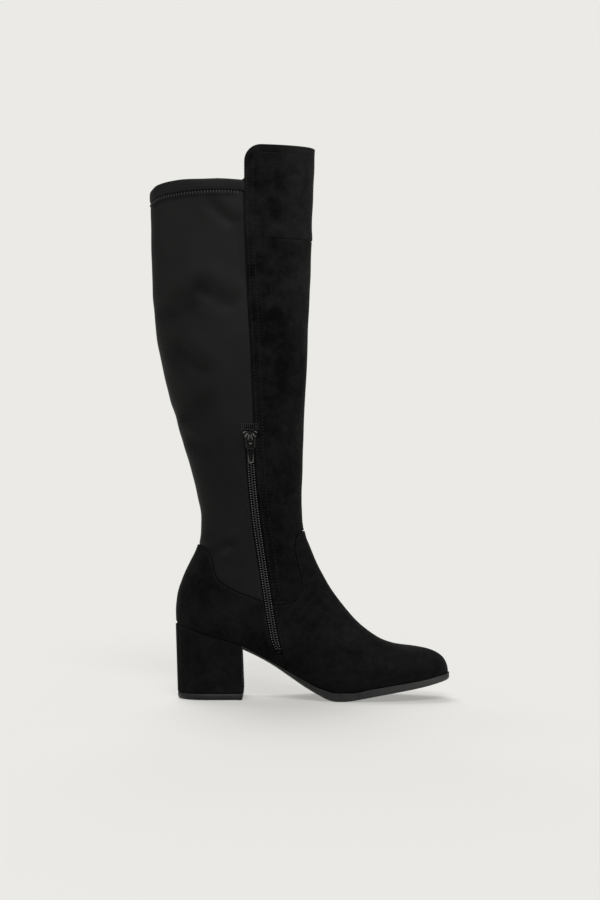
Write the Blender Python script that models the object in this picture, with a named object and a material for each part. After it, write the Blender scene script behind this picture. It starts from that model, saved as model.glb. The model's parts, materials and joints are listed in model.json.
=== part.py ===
"""Over-the-knee boot for the left foot: suede front, stretch back, half zip, covered block heel.

All tables and sizes are in millimetres and the meshes are written in metres. +X runs to the toe, +Y to
the outer side of the leg and +Z up. The origin is the middle of the heel tip's underside, on the floor.
The upper is a fan of sections. Those of the foot stand on the edge where the upper meets the sole and
turn about the front of the ankle, and those of the leg close round the heel and the calf. Every panel of
the upper is a wall between two offsets of that one surface, cut to its own outline in the side view.
"""

import bmesh
import bpy
import numpy as np
from mathutils import Matrix, Vector
from mathutils.bvhtree import BVHTree

MM = 0.001
GAP, SEAT_GAP = 0.3, 0.4
HALF_SPAN = 120.0
END_ROOM = 0.2
SECTION_SAMPLES = 60
WIDEST_SHARE = 0.999
FLAT_FOREFOOT_X = (113.0, 134.0)


def table(header, *rows):
    """Named columns from a header line and a row for each section or point."""
    names = header.split()
    return {name: np.array([row[k] for row in rows], float) for k, name in enumerate(names)}


# The last, read along the sole: height of the edge where the upper ends, middle of the outline, half its
# width, and the widest reach of the upper above it to the inner (medial) and outer (lateral) side.
LAST = table(
    "x       seat   centre  half   medial  lateral",
    (-31.4, 71.6, 0.0, 28.0, 31.4, 32.0),
    (-20.0, 67.6, 0.2, 28.0, 31.4, 32.2),
    (0.0, 60.6, 0.6, 28.2, 31.6, 32.8),
    (20.0, 55.2, 1.2, 28.2, 31.8, 33.8),
    (31.0, 51.0, 1.6, 28.0, 32.0, 34.4),
    (45.0, 43.8, 2.4, 27.6, 32.6, 35.4),
    (60.0, 35.6, 3.6, 28.2, 33.6, 37.2),
    (75.0, 27.2, 4.2, 30.6, 35.8, 40.0),
    (90.0, 18.8, 4.0, 34.6, 38.4, 43.0),
    (105.0, 11.8, 3.2, 38.6, 41.2, 45.4),
    (118.0, 8.0, 2.0, 40.8, 42.8, 46.0),
    (132.0, 7.8, 0.8, 41.6, 43.4, 45.4),
    (150.0, 11.2, -0.8, 41.6, 44.2, 44.0),
    (172.0, 15.0, -2.6, 41.6, 46.0, 41.6),
    (200.0, 19.4, -4.6, 41.6, 48.0, 39.4),
    (226.0, 24.8, -6.0, 41.6, 49.4, 38.0),
)
HEEL_ROUND_X, HEEL_BACK_X = 0.0, -31.4
TOE_ROUND_X, TOE_TIP_X = 140.0, 223.6
HEEL_POWER = 2.4
NOSE_BULGE = 0.5
TOE_POWER, TOE_ROOT = 2.2, 1.9

# The outsole: underside, height of its upright side, width of the slope below that side, and how far
# its edge stands out past the upper.
TREAD = table(
    "x      bottom  side  slope  welt",
    (29.5, 48.0, 1.4, 7.0, 0.1),
    (45.0, 40.5, 1.5, 7.0, 0.1),
    (60.0, 32.0, 1.8, 6.0, 0.2),
    (75.0, 22.8, 2.6, 4.6, 0.4),
    (90.0, 13.0, 3.8, 3.0, 0.7),
    (100.0, 7.2, 4.8, 2.2, 0.9),
    (108.0, 2.8, 5.4, 1.9, 1.0),
    (113.0, 0.0, 5.8, 1.8, 1.0),
    (134.0, 0.0, 5.8, 1.8, 1.0),
    (142.0, 1.3, 5.7, 1.7, 1.0),
    (152.0, 3.4, 5.6, 1.6, 1.0),
    (172.0, 7.2, 5.5, 1.5, 1.0),
    (200.0, 12.2, 5.5, 1.5, 1.0),
    (226.0, 17.8, 5.5, 1.5, 1.0),
)

# Sections of the foot, toe to heel: where each stands on the sole edge, its top point, the sideways
# place of that top, how high its widest level lies, how much of its height stays that wide, and how far
# its top is narrowed.
FOOT = table(
    "low_x    top_x   top_z  ridge  widest  flat  narrow",
    (223.2, 223.2, 28.8, -6.0, 0.45, 0.00, -0.05),
    (221.8, 221.8, 33.6, -6.1, 0.44, 0.00, -0.08),
    (218.8, 218.8, 38.4, -6.3, 0.43, 0.00, -0.10),
    (213.4, 213.4, 42.6, -6.6, 0.42, 0.00, -0.10),
    (205.0, 205.0, 46.1, -7.1, 0.41, 0.00, -0.08),
    (193.0, 193.0, 48.5, -7.6, 0.40, 0.00, -0.04),
    (178.0, 178.0, 50.6, -8.0, 0.39, 0.00, 0.00),
    (162.0, 162.4, 55.4, -8.3, 0.38, 0.00, 0.06),
    (147.0, 148.8, 62.9, -8.3, 0.37, 0.00, 0.12),
    (134.0, 138.6, 71.1, -7.9, 0.36, 0.00, 0.15),
    (121.0, 129.6, 81.1, -7.2, 0.34, 0.00, 0.18),
    (108.0, 121.6, 91.4, -6.4, 0.32, 0.00, 0.20),
    (95.0, 114.7, 101.2, -5.4, 0.31, 0.01, 0.21),
    (82.0, 109.2, 109.8, -4.6, 0.30, 0.02, 0.21),
    (69.0, 104.9, 117.4, -3.9, 0.29, 0.05, 0.20),
    (56.0, 101.3, 124.0, -3.3, 0.27, 0.09, 0.19),
    (43.0, 98.4, 130.2, -2.8, 0.25, 0.13, 0.18),
    (31.0, 96.1, 135.4, -2.3, 0.23, 0.17, 0.17),
    (1.0, 92.1, 144.8, -1.4, 0.21, 0.22, 0.15),
    (-12.0, 90.8, 148.0, -1.1, 0.22, 0.23, 0.14),
    (-21.0, 90.0, 150.2, -0.9, 0.235, 0.23, 0.13),
    (-27.4, 89.4, 152.0, -0.6, 0.26, 0.22, 0.12),
    (-30.6, 89.1, 153.6, -0.3, 0.28, 0.21, 0.12),
)

# Sections of the heel and leg, upwards: the back point, the front point, the reach to each side, how far
# from the back the widest level lies, how far it stays that wide, and how far the front and the back are
# narrowed.
LEG = table(
    "back_x  back_z  front_x  front_z  medial  lateral  widest  flat  narrow  heel",
    (-31.4, 71.6, 88.8, 155.2, 31.6, 32.2, 0.29, 0.20, 0.12, 0.00),
    (-31.7, 82.5, 88.1, 158.4, 32.0, 32.6, 0.31, 0.19, 0.12, 0.00),
    (-30.3, 97.0, 87.3, 162.4, 32.6, 33.2, 0.33, 0.17, 0.12, 0.02),
    (-25.2, 113.0, 86.7, 167.0, 33.2, 33.8, 0.36, 0.14, 0.11, 0.06),
    (-18.4, 128.0, 86.2, 172.0, 33.8, 34.2, 0.39, 0.11, 0.10, 0.10),
    (-11.9, 142.6, 85.9, 177.6, 34.2, 34.6, 0.42, 0.07, 0.10, 0.14),
    (-8.8, 155.5, 85.7, 184.0, 34.4, 34.8, 0.45, 0.04, 0.09, 0.16),
    (-9.0, 172.0, 85.7, 193.0, 34.6, 35.0, 0.48, 0.01, 0.08, 0.16),
    (-12.6, 192.0, 86.0, 206.0, 35.0, 35.4, 0.50, 0.00, 0.07, 0.15),
    (-19.5, 220.0, 86.8, 227.0, 35.8, 36.2, 0.50, 0.00, 0.06, 0.12),
    (-30.9, 258.0, 88.0, 258.0, 37.0, 37.4, 0.49, 0.00, 0.05, 0.09),
    (-42.8, 301.0, 89.9, 301.0, 38.6, 39.0, 0.48, 0.00, 0.04, 0.06),
    (-51.6, 344.0, 91.8, 344.0, 40.0, 40.4, 0.48, 0.00, 0.03, 0.04),
    (-55.3, 392.0, 93.8, 392.0, 41.0, 41.4, 0.48, 0.00, 0.02, 0.03),
    (-57.5, 526.0, 98.6, 526.0, 42.4, 42.8, 0.48, 0.00, 0.02, 0.02),
)
SIDE_COLUMNS = 11
CURVE_SPREAD = 30.0

# Offsets of the walls from the surface, inner face and outer face.
LINING = (-2.3, -1.1)
STRETCH = (-0.8, 0.0)
SUEDE = (-0.8, 0.6)
LAPPED_SUEDE = (-0.8, 1.1)
HEM = (-0.8, 1.3)
TAPE = (-0.8, -0.3)
CHAIN = (0.0, 1.5)
STOP = (0.0, 1.9)

# Lines of the upper in the side view, x and z. The seam is the rear edge of the front panel and of the
# vamp, and the front edge of the zip.
SEAM = table(
    "z       x",
    (10.0, 77.6),
    (28.0, 73.2),
    (33.5, 71.8),
    (48.4, 67.4),
    (70.0, 62.8),
    (95.0, 58.7),
    (122.0, 54.5),
    (151.0, 50.2),
    (170.0, 47.6),
    (222.0, 42.9),
    (260.0, 41.6),
    (342.0, 38.1),
    (375.0, 36.2),
    (484.0, 32.6),
    (526.0, 32.6),
)
VAMP_EDGE = table(
    "x     z",
    (130.0, 158.4),
    (86.5, 158.2),
    (82.3, 154.4),
    (80.2, 149.2),
    (79.9, 142.0),
    (81.1, 133.0),
    (83.6, 121.5),
    (86.0, 110.5),
    (86.6, 103.8),
    (85.0, 98.2),
    (81.4, 94.2),
    (76.0, 91.4),
    (67.0, 89.4),
)
COUNTER_EDGE = table(
    "x     z",
    (-80.0, 146.6),
    (-13.0, 146.0),
    (-6.4, 143.2),
    (-1.8, 139.2),
    (1.2, 134.8),
    (2.8, 130.0),
    (4.0, 122.6),
    (6.6, 115.6),
    (11.4, 110.2),
    (19.6, 104.8),
    (32.4, 99.2),
    (45.0, 94.6),
)
HEM_LINE = table(
    "x     z",
    (-80.0, 466.2),
    (-58.2, 466.8),
    (-55.2, 469.4),
    (-50.4, 472.0),
    (-38.0, 474.0),
    (-15.0, 476.0),
    (8.0, 476.8),
    (22.0, 476.0),
)
COLLAR_LINE = table(
    "x     z",
    (-80.0, 478.4),
    (-58.2, 479.0),
    (-55.2, 481.6),
    (-50.4, 484.0),
    (-38.0, 486.0),
    (-15.0, 487.8),
    (8.0, 488.4),
    (22.0, 487.6),
)
EDGES_MEET_Z = 90.2
HEM_FRONT_Z, COLLAR_FRONT_Z = 474.2, 486.0
PANEL_TOP_Z, PANEL_CORNER_R = 519.7, 16.4
PANEL_CORNER_POINTS = 7
BELOW_Z, BEHIND_X, AHEAD_X = -10.0, -80.0, 260.0
FOOT_STEP, LEG_STEP, ZIP_STEP = 14.0, 24.0, 26.0

# The zip lies behind the seam on the medial side.
ZIP_LOW_Z, ZIP_TOP_Z = 48.0, 257.0
CHANNEL_WIDTH, TAPE_WIDTH, CHAIN_WIDTH = 7.8, 7.0, 6.0
STOP_LENGTH = 2.6

# The slider's plate and its pull tab, as half widths along the zip, low end first. The pull hangs from
# its bar at 0 on the hinge line, and its inner rim is the window of the open frame.
SLIDER_Z = 243.6
SLIDER_LENGTH, SLIDER_FLOOR, SLIDER_THICK = 16.0, 1.8, 1.3
SLIDER_PLATE = table(
    "half  along",
    (2.9, -8.0),
    (4.3, -6.4),
    (4.5, -1.0),
    (6.3, 3.6),
    (5.9, 6.4),
    (3.7, 8.0),
)
PULL_THICK, PULL_LIFT = 1.2, 1.1
PULL_RIM = table(
    "outer  outer_along  inner  inner_along",
    (1.4, -21.4, 0.7, -20.0),
    (2.6, -20.0, 1.3, -19.2),
    (3.9, -3.0, 2.6, -3.2),
    (3.9, -0.4, 2.6, -1.1),
    (2.9, 0.6, 2.2, -0.7),
)

# The slider's bridge as seen from the side: along the zip and out from the plate.
BRIDGE_WIDTH = 2.2
BRIDGE_ARCH = table(
    "along  out",
    (-4.2, -0.6),
    (-4.2, 2.2),
    (-3.0, 3.4),
    (3.0, 3.4),
    (4.2, 2.2),
    (4.2, -0.6),
    (3.1, -0.6),
    (3.1, 2.3),
    (-3.1, 2.3),
    (-3.1, -0.6),
)

INSOLE_THICK, INSOLE_CLEARANCE = 2.4, 1.0

OUTSOLE_START_X, OUTSOLE_LEAST_SIDE = 29.8, 0.4
HEEL_BREAST_TOP_X, HEEL_BREAST_LOW_X = 29.2, 31.0
HEEL_LOW_BACK_X, HEEL_LOW_HALF = -30.6, 26.0
HEEL_TIP_THICK, HEEL_TIP_BEVEL = 6.0, 0.8

BLACK_SUEDE = ("suede", (0.012, 0.012, 0.013), 0.95, 0.0)
BLACK_STRETCH = ("stretch", (0.02, 0.02, 0.021), 0.7, 0.0)
BLACK_LINING = ("lining", (0.03, 0.03, 0.031), 0.8, 0.0)
GREY_RUBBER = ("rubber", (0.045, 0.045, 0.048), 0.6, 0.0)
BLACK_TAPE = ("zip tape", (0.015, 0.015, 0.015), 0.8, 0.0)
BLACK_METAL = ("zip metal", (0.03, 0.03, 0.03), 0.3, 0.8)


def smooth(knots, values, at):
    """Read a smooth curve through (knots, values) that adds no bump between two of them."""
    at = np.clip(np.asarray(at, float), knots[0], knots[-1])
    step = np.diff(knots)
    slope = np.diff(values) / step
    tangent = np.zeros(len(values))
    tangent[0], tangent[-1] = slope[0], slope[-1]
    same = slope[1:] * slope[:-1] > 0
    before, after = 2 * step[1:] + step[:-1], step[1:] + 2 * step[:-1]
    inner = tangent[1:-1]
    inner[same] = (before + after)[same] / (before[same] / slope[:-1][same] + after[same] / slope[1:][same])
    k = np.clip(np.searchsorted(knots, at, side="right") - 1, 0, len(step) - 1)
    t = (at - knots[k]) / step[k]
    return (
        (1 + 2 * t) * (1 - t) ** 2 * values[k]
        + t * (1 - t) ** 2 * step[k] * tangent[k]
        + t**2 * (3 - 2 * t) * values[k + 1]
        + t**2 * (t - 1) * step[k] * tangent[k + 1]
    )


def last(column, x):
    """One column of the last at x."""
    return smooth(LAST["x"], LAST[column], x)


def tread(column, x):
    """One column of the outsole at x."""
    return smooth(TREAD["x"], TREAD[column], x)


def seat_slope(x):
    """How steeply the sole edge climbs towards the toe at x."""
    return last("seat", x + 0.5) - last("seat", x - 0.5)


def under_seat(x):
    """The top of the sole and the heel at x, a gap below the upper's edge."""
    return last("seat", x) - SEAT_GAP * np.hypot(1, seat_slope(x))


def toe_share(x):
    """How far station x lies along the toe, 0 at the ball to 1 at the tip."""
    return np.clip((x - TOE_ROUND_X) / (TOE_TIP_X - TOE_ROUND_X), 0, 1)


def heel_share(x):
    """How far station x lies along the round of the heel, 0 at its middle to 1 at the back."""
    return np.clip((HEEL_ROUND_X - x) / (HEEL_ROUND_X - HEEL_BACK_X), 0, 1)


def toe_close(share):
    """The outline's width along the toe, 1 to 0."""
    return (1 - share**TOE_POWER) ** (1 / TOE_ROOT)


def outline(x, outset):
    """The outline at station x, moved out by outset: its x, and its y to the medial and lateral side."""
    toe, heel = toe_share(x), heel_share(x)
    half = (last("half", x) + outset) * toe_close(toe) * (1 - heel**HEEL_POWER) ** 0.5
    centre = last("centre", x)
    return x + outset * (toe - heel), centre - half, centre + half


def widest_reach(x):
    """The y of the upper's widest level at station x, medial and lateral."""
    centre, close = last("centre", x), toe_close(toe_share(x))
    return [centre + (side - centre) * close for side in (-last("medial", x), last("lateral", x))]


def half_section(centre, foot_y, side_y, ridge_y, height, shape):
    """One side of a section, from the sole edge or the back up to the ridge, as (y, distance up).

    Up to its widest level it is the part of a quarter ellipse that stands outside the sole edge, then
    it stays that wide for a while, and above it is a quarter ellipse narrowed towards the ridge. Its
    points stand closer where it curves more.
    """
    widest, flat, narrow, heel = shape
    level, shoulder = widest * height, (widest + flat) * height
    start = np.arcsin(min(abs(foot_y - centre) / abs(side_y - centre), WIDEST_SHARE))
    turn = np.linspace(start, np.pi / 2, SECTION_SAMPLES)
    low_y = centre + (side_y - centre) * np.sin(turn) * (1 - heel * np.cos(turn) ** 2)
    low_s = level * (1 - np.cos(turn) / np.cos(start))
    turn = np.linspace(0, np.pi / 2, SECTION_SAMPLES)
    high_y = ridge_y + (side_y - ridge_y) * np.cos(turn) * (1 - narrow * np.sin(turn) ** 2)
    high_s = shoulder + (height - shoulder) * np.sin(turn)
    y, s = np.concatenate([low_y, high_y]), np.concatenate([low_s, high_s])
    turned = np.abs(np.gradient(np.unwrap(np.arctan2(np.gradient(s), np.gradient(y)))))
    spread = np.cumsum(np.hypot(np.diff(y), np.diff(s)) + CURVE_SPREAD * turned[1:])
    spread = np.concatenate([[0], spread])
    at = np.linspace(0, spread[-1], SIDE_COLUMNS + 1)
    return np.interp(at, spread, y), np.interp(at, spread, s)


def section(low, top, centre, feet, sides, ridge_y, shape):
    """A ring of points from the medial edge over the top to the lateral edge."""
    along = np.subtract(top, low)
    height = np.hypot(*along)
    along = along / height
    halves = []
    for foot_y, side_y in zip(feet, sides):
        y, s = half_section(centre, foot_y, side_y, ridge_y, height, shape)
        halves.append(np.column_stack([low[0] + s * along[0], y, low[1] + s * along[1]]))
    return np.concatenate([halves[0], halves[1][-2::-1]])


def fan():
    """The upper's surface as rings of points, and the first ring that closes round the heel."""
    rings = []
    for low_x, top_x, top_z, ridge, widest, flat, narrow in zip(*FOOT.values()):
        _, medial, lateral = outline(low_x, 0.0)
        low, shape = (low_x, last("seat", low_x)), (widest, flat, narrow, 0.0)
        centre, sides = last("centre", low_x), widest_reach(low_x)
        rings.append(section(low, (top_x, top_z), centre, (medial, lateral), sides, ridge, shape))
    for back_x, back_z, front_x, front_z, medial, lateral, *shape in zip(*LEG.values()):
        back, front, sides = (back_x, back_z), (front_x, front_z), (-medial, lateral)
        rings.append(section(back, front, 0.0, (0.0, 0.0), sides, 0.0, shape))
    return np.array(rings), len(FOOT["low_x"])


def grid_index(rows, closes):
    """Vertex numbers of the grid, where the rows from `closes` on share their first and last point."""
    columns = 2 * SIDE_COLUMNS + 1
    index = np.zeros((rows, columns), int)
    count = 0
    for row in range(rows):
        wide = columns - 1 if row >= closes else columns
        index[row, :wide] = np.arange(count, count + wide)
        if row >= closes:
            index[row, -1] = index[row, 0]
        count += wide
    return index


def facets(index, points):
    """The grid's faces as triangles that point out, each cell split along its shorter diagonal."""
    corners = (index[:-1, :-1], index[:-1, 1:], index[1:, 1:], index[1:, :-1])
    a, b, c, d = (corner.ravel() for corner in corners)
    short = np.linalg.norm(points[a] - points[c], axis=1) < np.linalg.norm(points[b] - points[d], axis=1)
    first = np.where(short[:, None], np.column_stack([a, b, c]), np.column_stack([a, b, d]))
    second = np.where(short[:, None], np.column_stack([a, c, d]), np.column_stack([b, c, d]))
    return np.concatenate([first, second])


class Surface:
    """The upper's surface: vertices, the way out at each, and the faces of a wall between two offsets."""

    def __init__(self):
        rings, self.closes = fan()
        self.index = grid_index(len(rings), self.closes)
        self.points = np.zeros((self.index.max() + 1, 3))
        self.points[self.index.ravel()] = rings.reshape(-1, 3)
        self.faces = facets(self.index, self.points)
        self.nose = self.toe_point(0.0)
        self.normals = self.outward()
        triangles = [tuple(face) for face in self.faces]
        self.tree = BVHTree.FromPolygons([Vector(p) for p in self.points], triangles)

    def toe_point(self, offset):
        """The foremost point of the sole edge, moved out by offset."""
        medial, lateral = self.points[self.index[0, 0]], self.points[self.index[0, -1]]
        x = medial[0] + NOSE_BULGE + offset
        return np.array([x, (medial[1] + lateral[1]) / 2, last("seat", x)])

    def outward(self):
        """Unit normals at the vertices, kept level with the sole edge along it."""
        corner = self.points[self.faces]
        normal = np.cross(corner[:, 1] - corner[:, 0], corner[:, 2] - corner[:, 0])
        normal /= np.linalg.norm(normal, axis=1)[:, None]
        total = np.zeros_like(self.points)
        for k in range(3):
            ahead, behind = corner[:, (k + 1) % 3] - corner[:, k], corner[:, (k + 2) % 3] - corner[:, k]
            cosine = np.sum(ahead * behind, axis=1)
            cosine /= np.linalg.norm(ahead, axis=1) * np.linalg.norm(behind, axis=1)
            np.add.at(total, self.faces[:, k], normal * np.arccos(np.clip(cosine, -1, 1))[:, None])
        first = self.points[self.index[0]]
        for k in range(len(first) - 1):
            tip = np.cross(self.nose - first[k], first[k + 1] - first[k])
            total[self.index[0, k : k + 2]] += tip / np.linalg.norm(tip)
        edge = np.concatenate([self.index[: self.closes + 1, 0], self.index[: self.closes, -1]])
        x = self.points[edge, 0]
        seat = np.column_stack([-seat_slope(x), np.zeros_like(x), np.ones_like(x)])
        seat /= np.linalg.norm(seat, axis=1)[:, None]
        total[edge] -= seat * np.sum(total[edge] * seat, axis=1)[:, None]
        return total / np.linalg.norm(total, axis=1)[:, None]

    def wall(self, inner, outer):
        """Vertices and faces of the closed wall between two offsets."""
        index, closes, count = self.index, self.closes, len(self.points)
        end = index.shape[1] - 1
        low = index + count
        vertices = [self.points + outer * self.normals, self.points + inner * self.normals]
        vertices.append([self.toe_point(outer), self.toe_point(inner)])
        tip_out, tip_in = 2 * count, 2 * count + 1
        faces = [tuple(face) for face in self.faces]
        faces += [tuple(face[::-1] + count) for face in self.faces]
        for c in range(end):
            faces.append((index[0, c + 1], index[0, c], tip_out))
            faces.append((low[0, c], low[0, c + 1], tip_in))
            faces.append((index[-1, c], index[-1, c + 1], low[-1, c + 1], low[-1, c]))
        for r in range(closes):
            faces.append((index[r, 0], index[r + 1, 0], low[r + 1, 0], low[r, 0]))
            faces.append((index[r + 1, end], index[r, end], low[r, end], low[r + 1, end]))
        faces.append((index[0, end], tip_out, tip_in, low[0, end]))
        faces.append((tip_out, index[0, 0], low[0, 0], tip_in))
        return np.concatenate(vertices), [tuple(int(v) for v in face) for face in faces]

    def medial(self, x, z):
        """The point of the medial side at x and z."""
        place, _, _, _ = self.tree.ray_cast(Vector((x, -HALF_SPAN, z)), Vector((0, 1, 0)))
        return place


def seam_x(z):
    """The seam's x at height z."""
    return smooth(SEAM["z"], SEAM["x"], z)


def seam_run(low_z, high_z, step):
    """Points of the seam from low_z up to high_z."""
    z = np.linspace(low_z, high_z, max(2, int(round((high_z - low_z) / step)) + 1))
    return list(zip(seam_x(z), z))


def line(points):
    """A table of x and z as a list of points."""
    return list(zip(points["x"], points["z"]))


def inset(polygon, distance):
    """The polygon with each side moved in by distance."""
    p = np.array(polygon, float)
    area = np.sum(p[:, 0] * np.roll(p[:, 1], -1) - np.roll(p[:, 0], -1) * p[:, 1])
    run = np.roll(p, -1, axis=0) - p
    run /= np.linalg.norm(run, axis=1)[:, None]
    inward = np.sign(area) * np.column_stack([-run[:, 1], run[:, 0]])
    before = np.roll(inward, 1, axis=0)
    share = 1 + np.sum(inward * before, axis=1)
    return p + distance * (inward + before) / share[:, None]


def beside_seam(low_z, high_z, ahead, behind):
    """A band along the seam, between two distances behind it."""
    seam = np.array(seam_run(low_z, high_z, ZIP_STEP))
    run = np.gradient(seam, axis=0)
    run /= np.linalg.norm(run, axis=1)[:, None]
    back = np.column_stack([-run[:, 1], run[:, 0]])
    return np.concatenate([seam + ahead * back, (seam + behind * back)[::-1]])


def panel_corner():
    """The rounded rear corner at the top of the front panel."""
    centre_x, centre_z = seam_x(PANEL_TOP_Z) + PANEL_CORNER_R, PANEL_TOP_Z - PANEL_CORNER_R
    turn = np.linspace(np.pi, np.pi / 2, PANEL_CORNER_POINTS)
    x, z = centre_x + PANEL_CORNER_R * np.cos(turn), centre_z + PANEL_CORNER_R * np.sin(turn)
    return list(zip(x, z))


def front_panel_outline():
    """The suede front panel in the side view."""
    seam = seam_run(EDGES_MEET_Z, PANEL_TOP_Z - PANEL_CORNER_R, LEG_STEP)[:-1]
    return seam + panel_corner() + [(AHEAD_X, PANEL_TOP_Z)] + line(VAMP_EDGE)


def back_panel_outline():
    """The stretch back panel in the side view."""
    return seam_run(EDGES_MEET_Z, HEM_FRONT_Z, LEG_STEP) + line(HEM_LINE)[::-1] + line(COUNTER_EDGE)


def hem_outline():
    """The folded hem at the top of the back panel in the side view."""
    return line(HEM_LINE) + seam_run(HEM_FRONT_Z, COLLAR_FRONT_Z, LEG_STEP) + line(COLLAR_LINE)[::-1]


def counter_outline():
    """The counter in the side view."""
    low = [(seam_x(BELOW_Z), BELOW_Z), (BEHIND_X, BELOW_Z)]
    return line(COUNTER_EDGE) + seam_run(BELOW_Z, EDGES_MEET_Z, FOOT_STEP)[:0:-1] + low


def vamp_outline():
    """The vamp in the side view."""
    low = [(AHEAD_X, BELOW_Z), (AHEAD_X, VAMP_EDGE["z"][0])]
    return seam_run(BELOW_Z, EDGES_MEET_Z, FOOT_STEP)[::-1] + low + line(VAMP_EDGE)[1:]


def collar_outline():
    """All of the upper below its collar in the side view."""
    low = [(AHEAD_X, BELOW_Z), (BEHIND_X, BELOW_Z)]
    step_up = [(seam_x(COLLAR_FRONT_Z), COLLAR_FRONT_Z)]
    return low + line(COLLAR_LINE) + step_up + panel_corner() + [(AHEAD_X, PANEL_TOP_Z)]


def material(finish):
    """A Principled material from (name, colour, roughness, metallic)."""
    name, colour, roughness, metallic = finish
    made = bpy.data.materials.new(name)
    made.use_nodes = True
    shader = made.node_tree.nodes["Principled BSDF"]
    shader.inputs["Base Color"].default_value = (*colour, 1.0)
    shader.inputs["Roughness"].default_value = roughness
    shader.inputs["Metallic"].default_value = metallic
    return made


def new_object(name, vertices, faces, finish=None, sharp=40.0):
    """An object from vertices in millimetres, shaded smooth where its faces meet at less than sharp."""
    mesh = bpy.data.meshes.new(name)
    mesh.from_pydata([tuple(float(v) * MM for v in vertex) for vertex in vertices], [], faces)
    edit = bmesh.new()
    edit.from_mesh(mesh)
    bmesh.ops.recalc_face_normals(edit, faces=edit.faces)
    edit.to_mesh(mesh)
    edit.free()
    mesh.shade_smooth()
    mesh.set_sharp_from_angle(angle=np.radians(sharp))
    thing = bpy.data.objects.new(name, mesh)
    bpy.context.collection.objects.link(thing)
    if finish:
        mesh.materials.append(material(finish))
    return thing


def prism(name, polygon, low_y, high_y):
    """A cutter: a side-view polygon carried across the boot."""
    count = len(polygon)
    vertices = [(x, y, z) for y in (low_y, high_y) for x, z in polygon]
    faces = [tuple(range(count)), tuple(range(2 * count - 1, count - 1, -1))]
    faces += [(k, (k + 1) % count, (k + 1) % count + count, k + count) for k in range(count)]
    cutter = new_object(name, vertices, faces)
    cutter.hide_render = True
    cutter.display_type = "WIRE"
    return cutter


def boolean(thing, cutter, operation):
    """A live exact Boolean on the object."""
    cut = thing.modifiers.new(cutter.name, "BOOLEAN")
    cut.operation = operation
    cut.solver = "EXACT"
    cut.object = cutter


def cut_panel(surface, name, offsets, polygon, finish, high_y=HALF_SPAN):
    """A panel: the wall between two offsets, kept inside its side-view outline."""
    panel = new_object(name, *surface.wall(*offsets), finish)
    boolean(panel, prism(name + "_outline", inset(polygon, GAP / 2), -HALF_SPAN, high_y), "INTERSECT")
    return panel


def make_upper(surface):
    """The lining wall and the panels on it, with the zip's channel cut on the medial side."""
    cut_panel(surface, "upper", LINING, collar_outline(), BLACK_LINING)
    cut_panel(surface, "shaft_front", SUEDE, front_panel_outline(), BLACK_SUEDE)
    back = cut_panel(surface, "shaft_back", STRETCH, back_panel_outline(), BLACK_STRETCH)
    cut_panel(surface, "collar_hem", HEM, hem_outline(), BLACK_STRETCH)
    counter = cut_panel(surface, "counter", LAPPED_SUEDE, counter_outline(), BLACK_SUEDE)
    cut_panel(surface, "vamp", LAPPED_SUEDE, vamp_outline(), BLACK_SUEDE)
    band = beside_seam(ZIP_LOW_Z, ZIP_TOP_Z, -1.0, CHANNEL_WIDTH)
    channel = prism("zip_channel", band, -HALF_SPAN, 0.0)
    boolean(back, channel, "DIFFERENCE")
    boolean(counter, channel, "DIFFERENCE")


def zip_band(width, low_z, high_z):
    """A band of the given width along the middle of the zip's channel."""
    margin = (CHANNEL_WIDTH - width) / 2
    return beside_seam(low_z, high_z, margin, margin + width)


def make_zip(surface):
    """Tape, chain and bottom stop, each a strip of the upper's own surface."""
    chain_low = ZIP_LOW_Z + GAP + STOP_LENGTH
    tape = zip_band(TAPE_WIDTH, ZIP_LOW_Z + GAP, ZIP_TOP_Z - GAP)
    chain = zip_band(CHAIN_WIDTH, chain_low, ZIP_TOP_Z - GAP)
    stop = zip_band(CHAIN_WIDTH, ZIP_LOW_Z + GAP, chain_low)
    cut_panel(surface, "zip_tape", TAPE, tape, BLACK_TAPE, 0.0)
    cut_panel(surface, "zip_chain", CHAIN, chain, BLACK_TAPE, 0.0)
    cut_panel(surface, "zip_stop", STOP, stop, BLACK_METAL, 0.0)


def slider_frame(surface):
    """The slider's place: across to the front, up along the zip, and out from the boot."""

    def zip_middle(z, ahead):
        """The point of the zip's middle line at z, or a little ahead of it."""
        return surface.medial(seam_x(z) - CHANNEL_WIDTH / 2 + ahead, z)

    reach = SLIDER_LENGTH / 2
    up = (zip_middle(SLIDER_Z + reach, 0.0) - zip_middle(SLIDER_Z - reach, 0.0)).normalized()
    across = zip_middle(SLIDER_Z, reach / 2) - zip_middle(SLIDER_Z, -reach / 2)
    across = (across - across.dot(up) * up).normalized()
    frame = Matrix.Identity(4)
    for k, axis in enumerate((across, up, across.cross(up))):
        frame.col[k][:3] = axis
    frame.translation = zip_middle(SLIDER_Z, 0.0) * MM
    return frame


def slab(name, polygon, low, high, finish=None):
    """An outline in the x-y plane, raised from low to high."""
    count = len(polygon)
    vertices = [(x, y, z) for z in (low, high) for x, y in polygon]
    faces = [tuple(range(count)), tuple(range(2 * count - 1, count - 1, -1))]
    faces += [(k, (k + 1) % count, (k + 1) % count + count, k + count) for k in range(count)]
    return new_object(name, vertices, faces, finish)


def mirrored(half, along):
    """A closed outline from the half widths of its right side, low end first."""
    side = list(zip(half, along))
    return side + [(-x, y) for x, y in reversed(side)]


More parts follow.
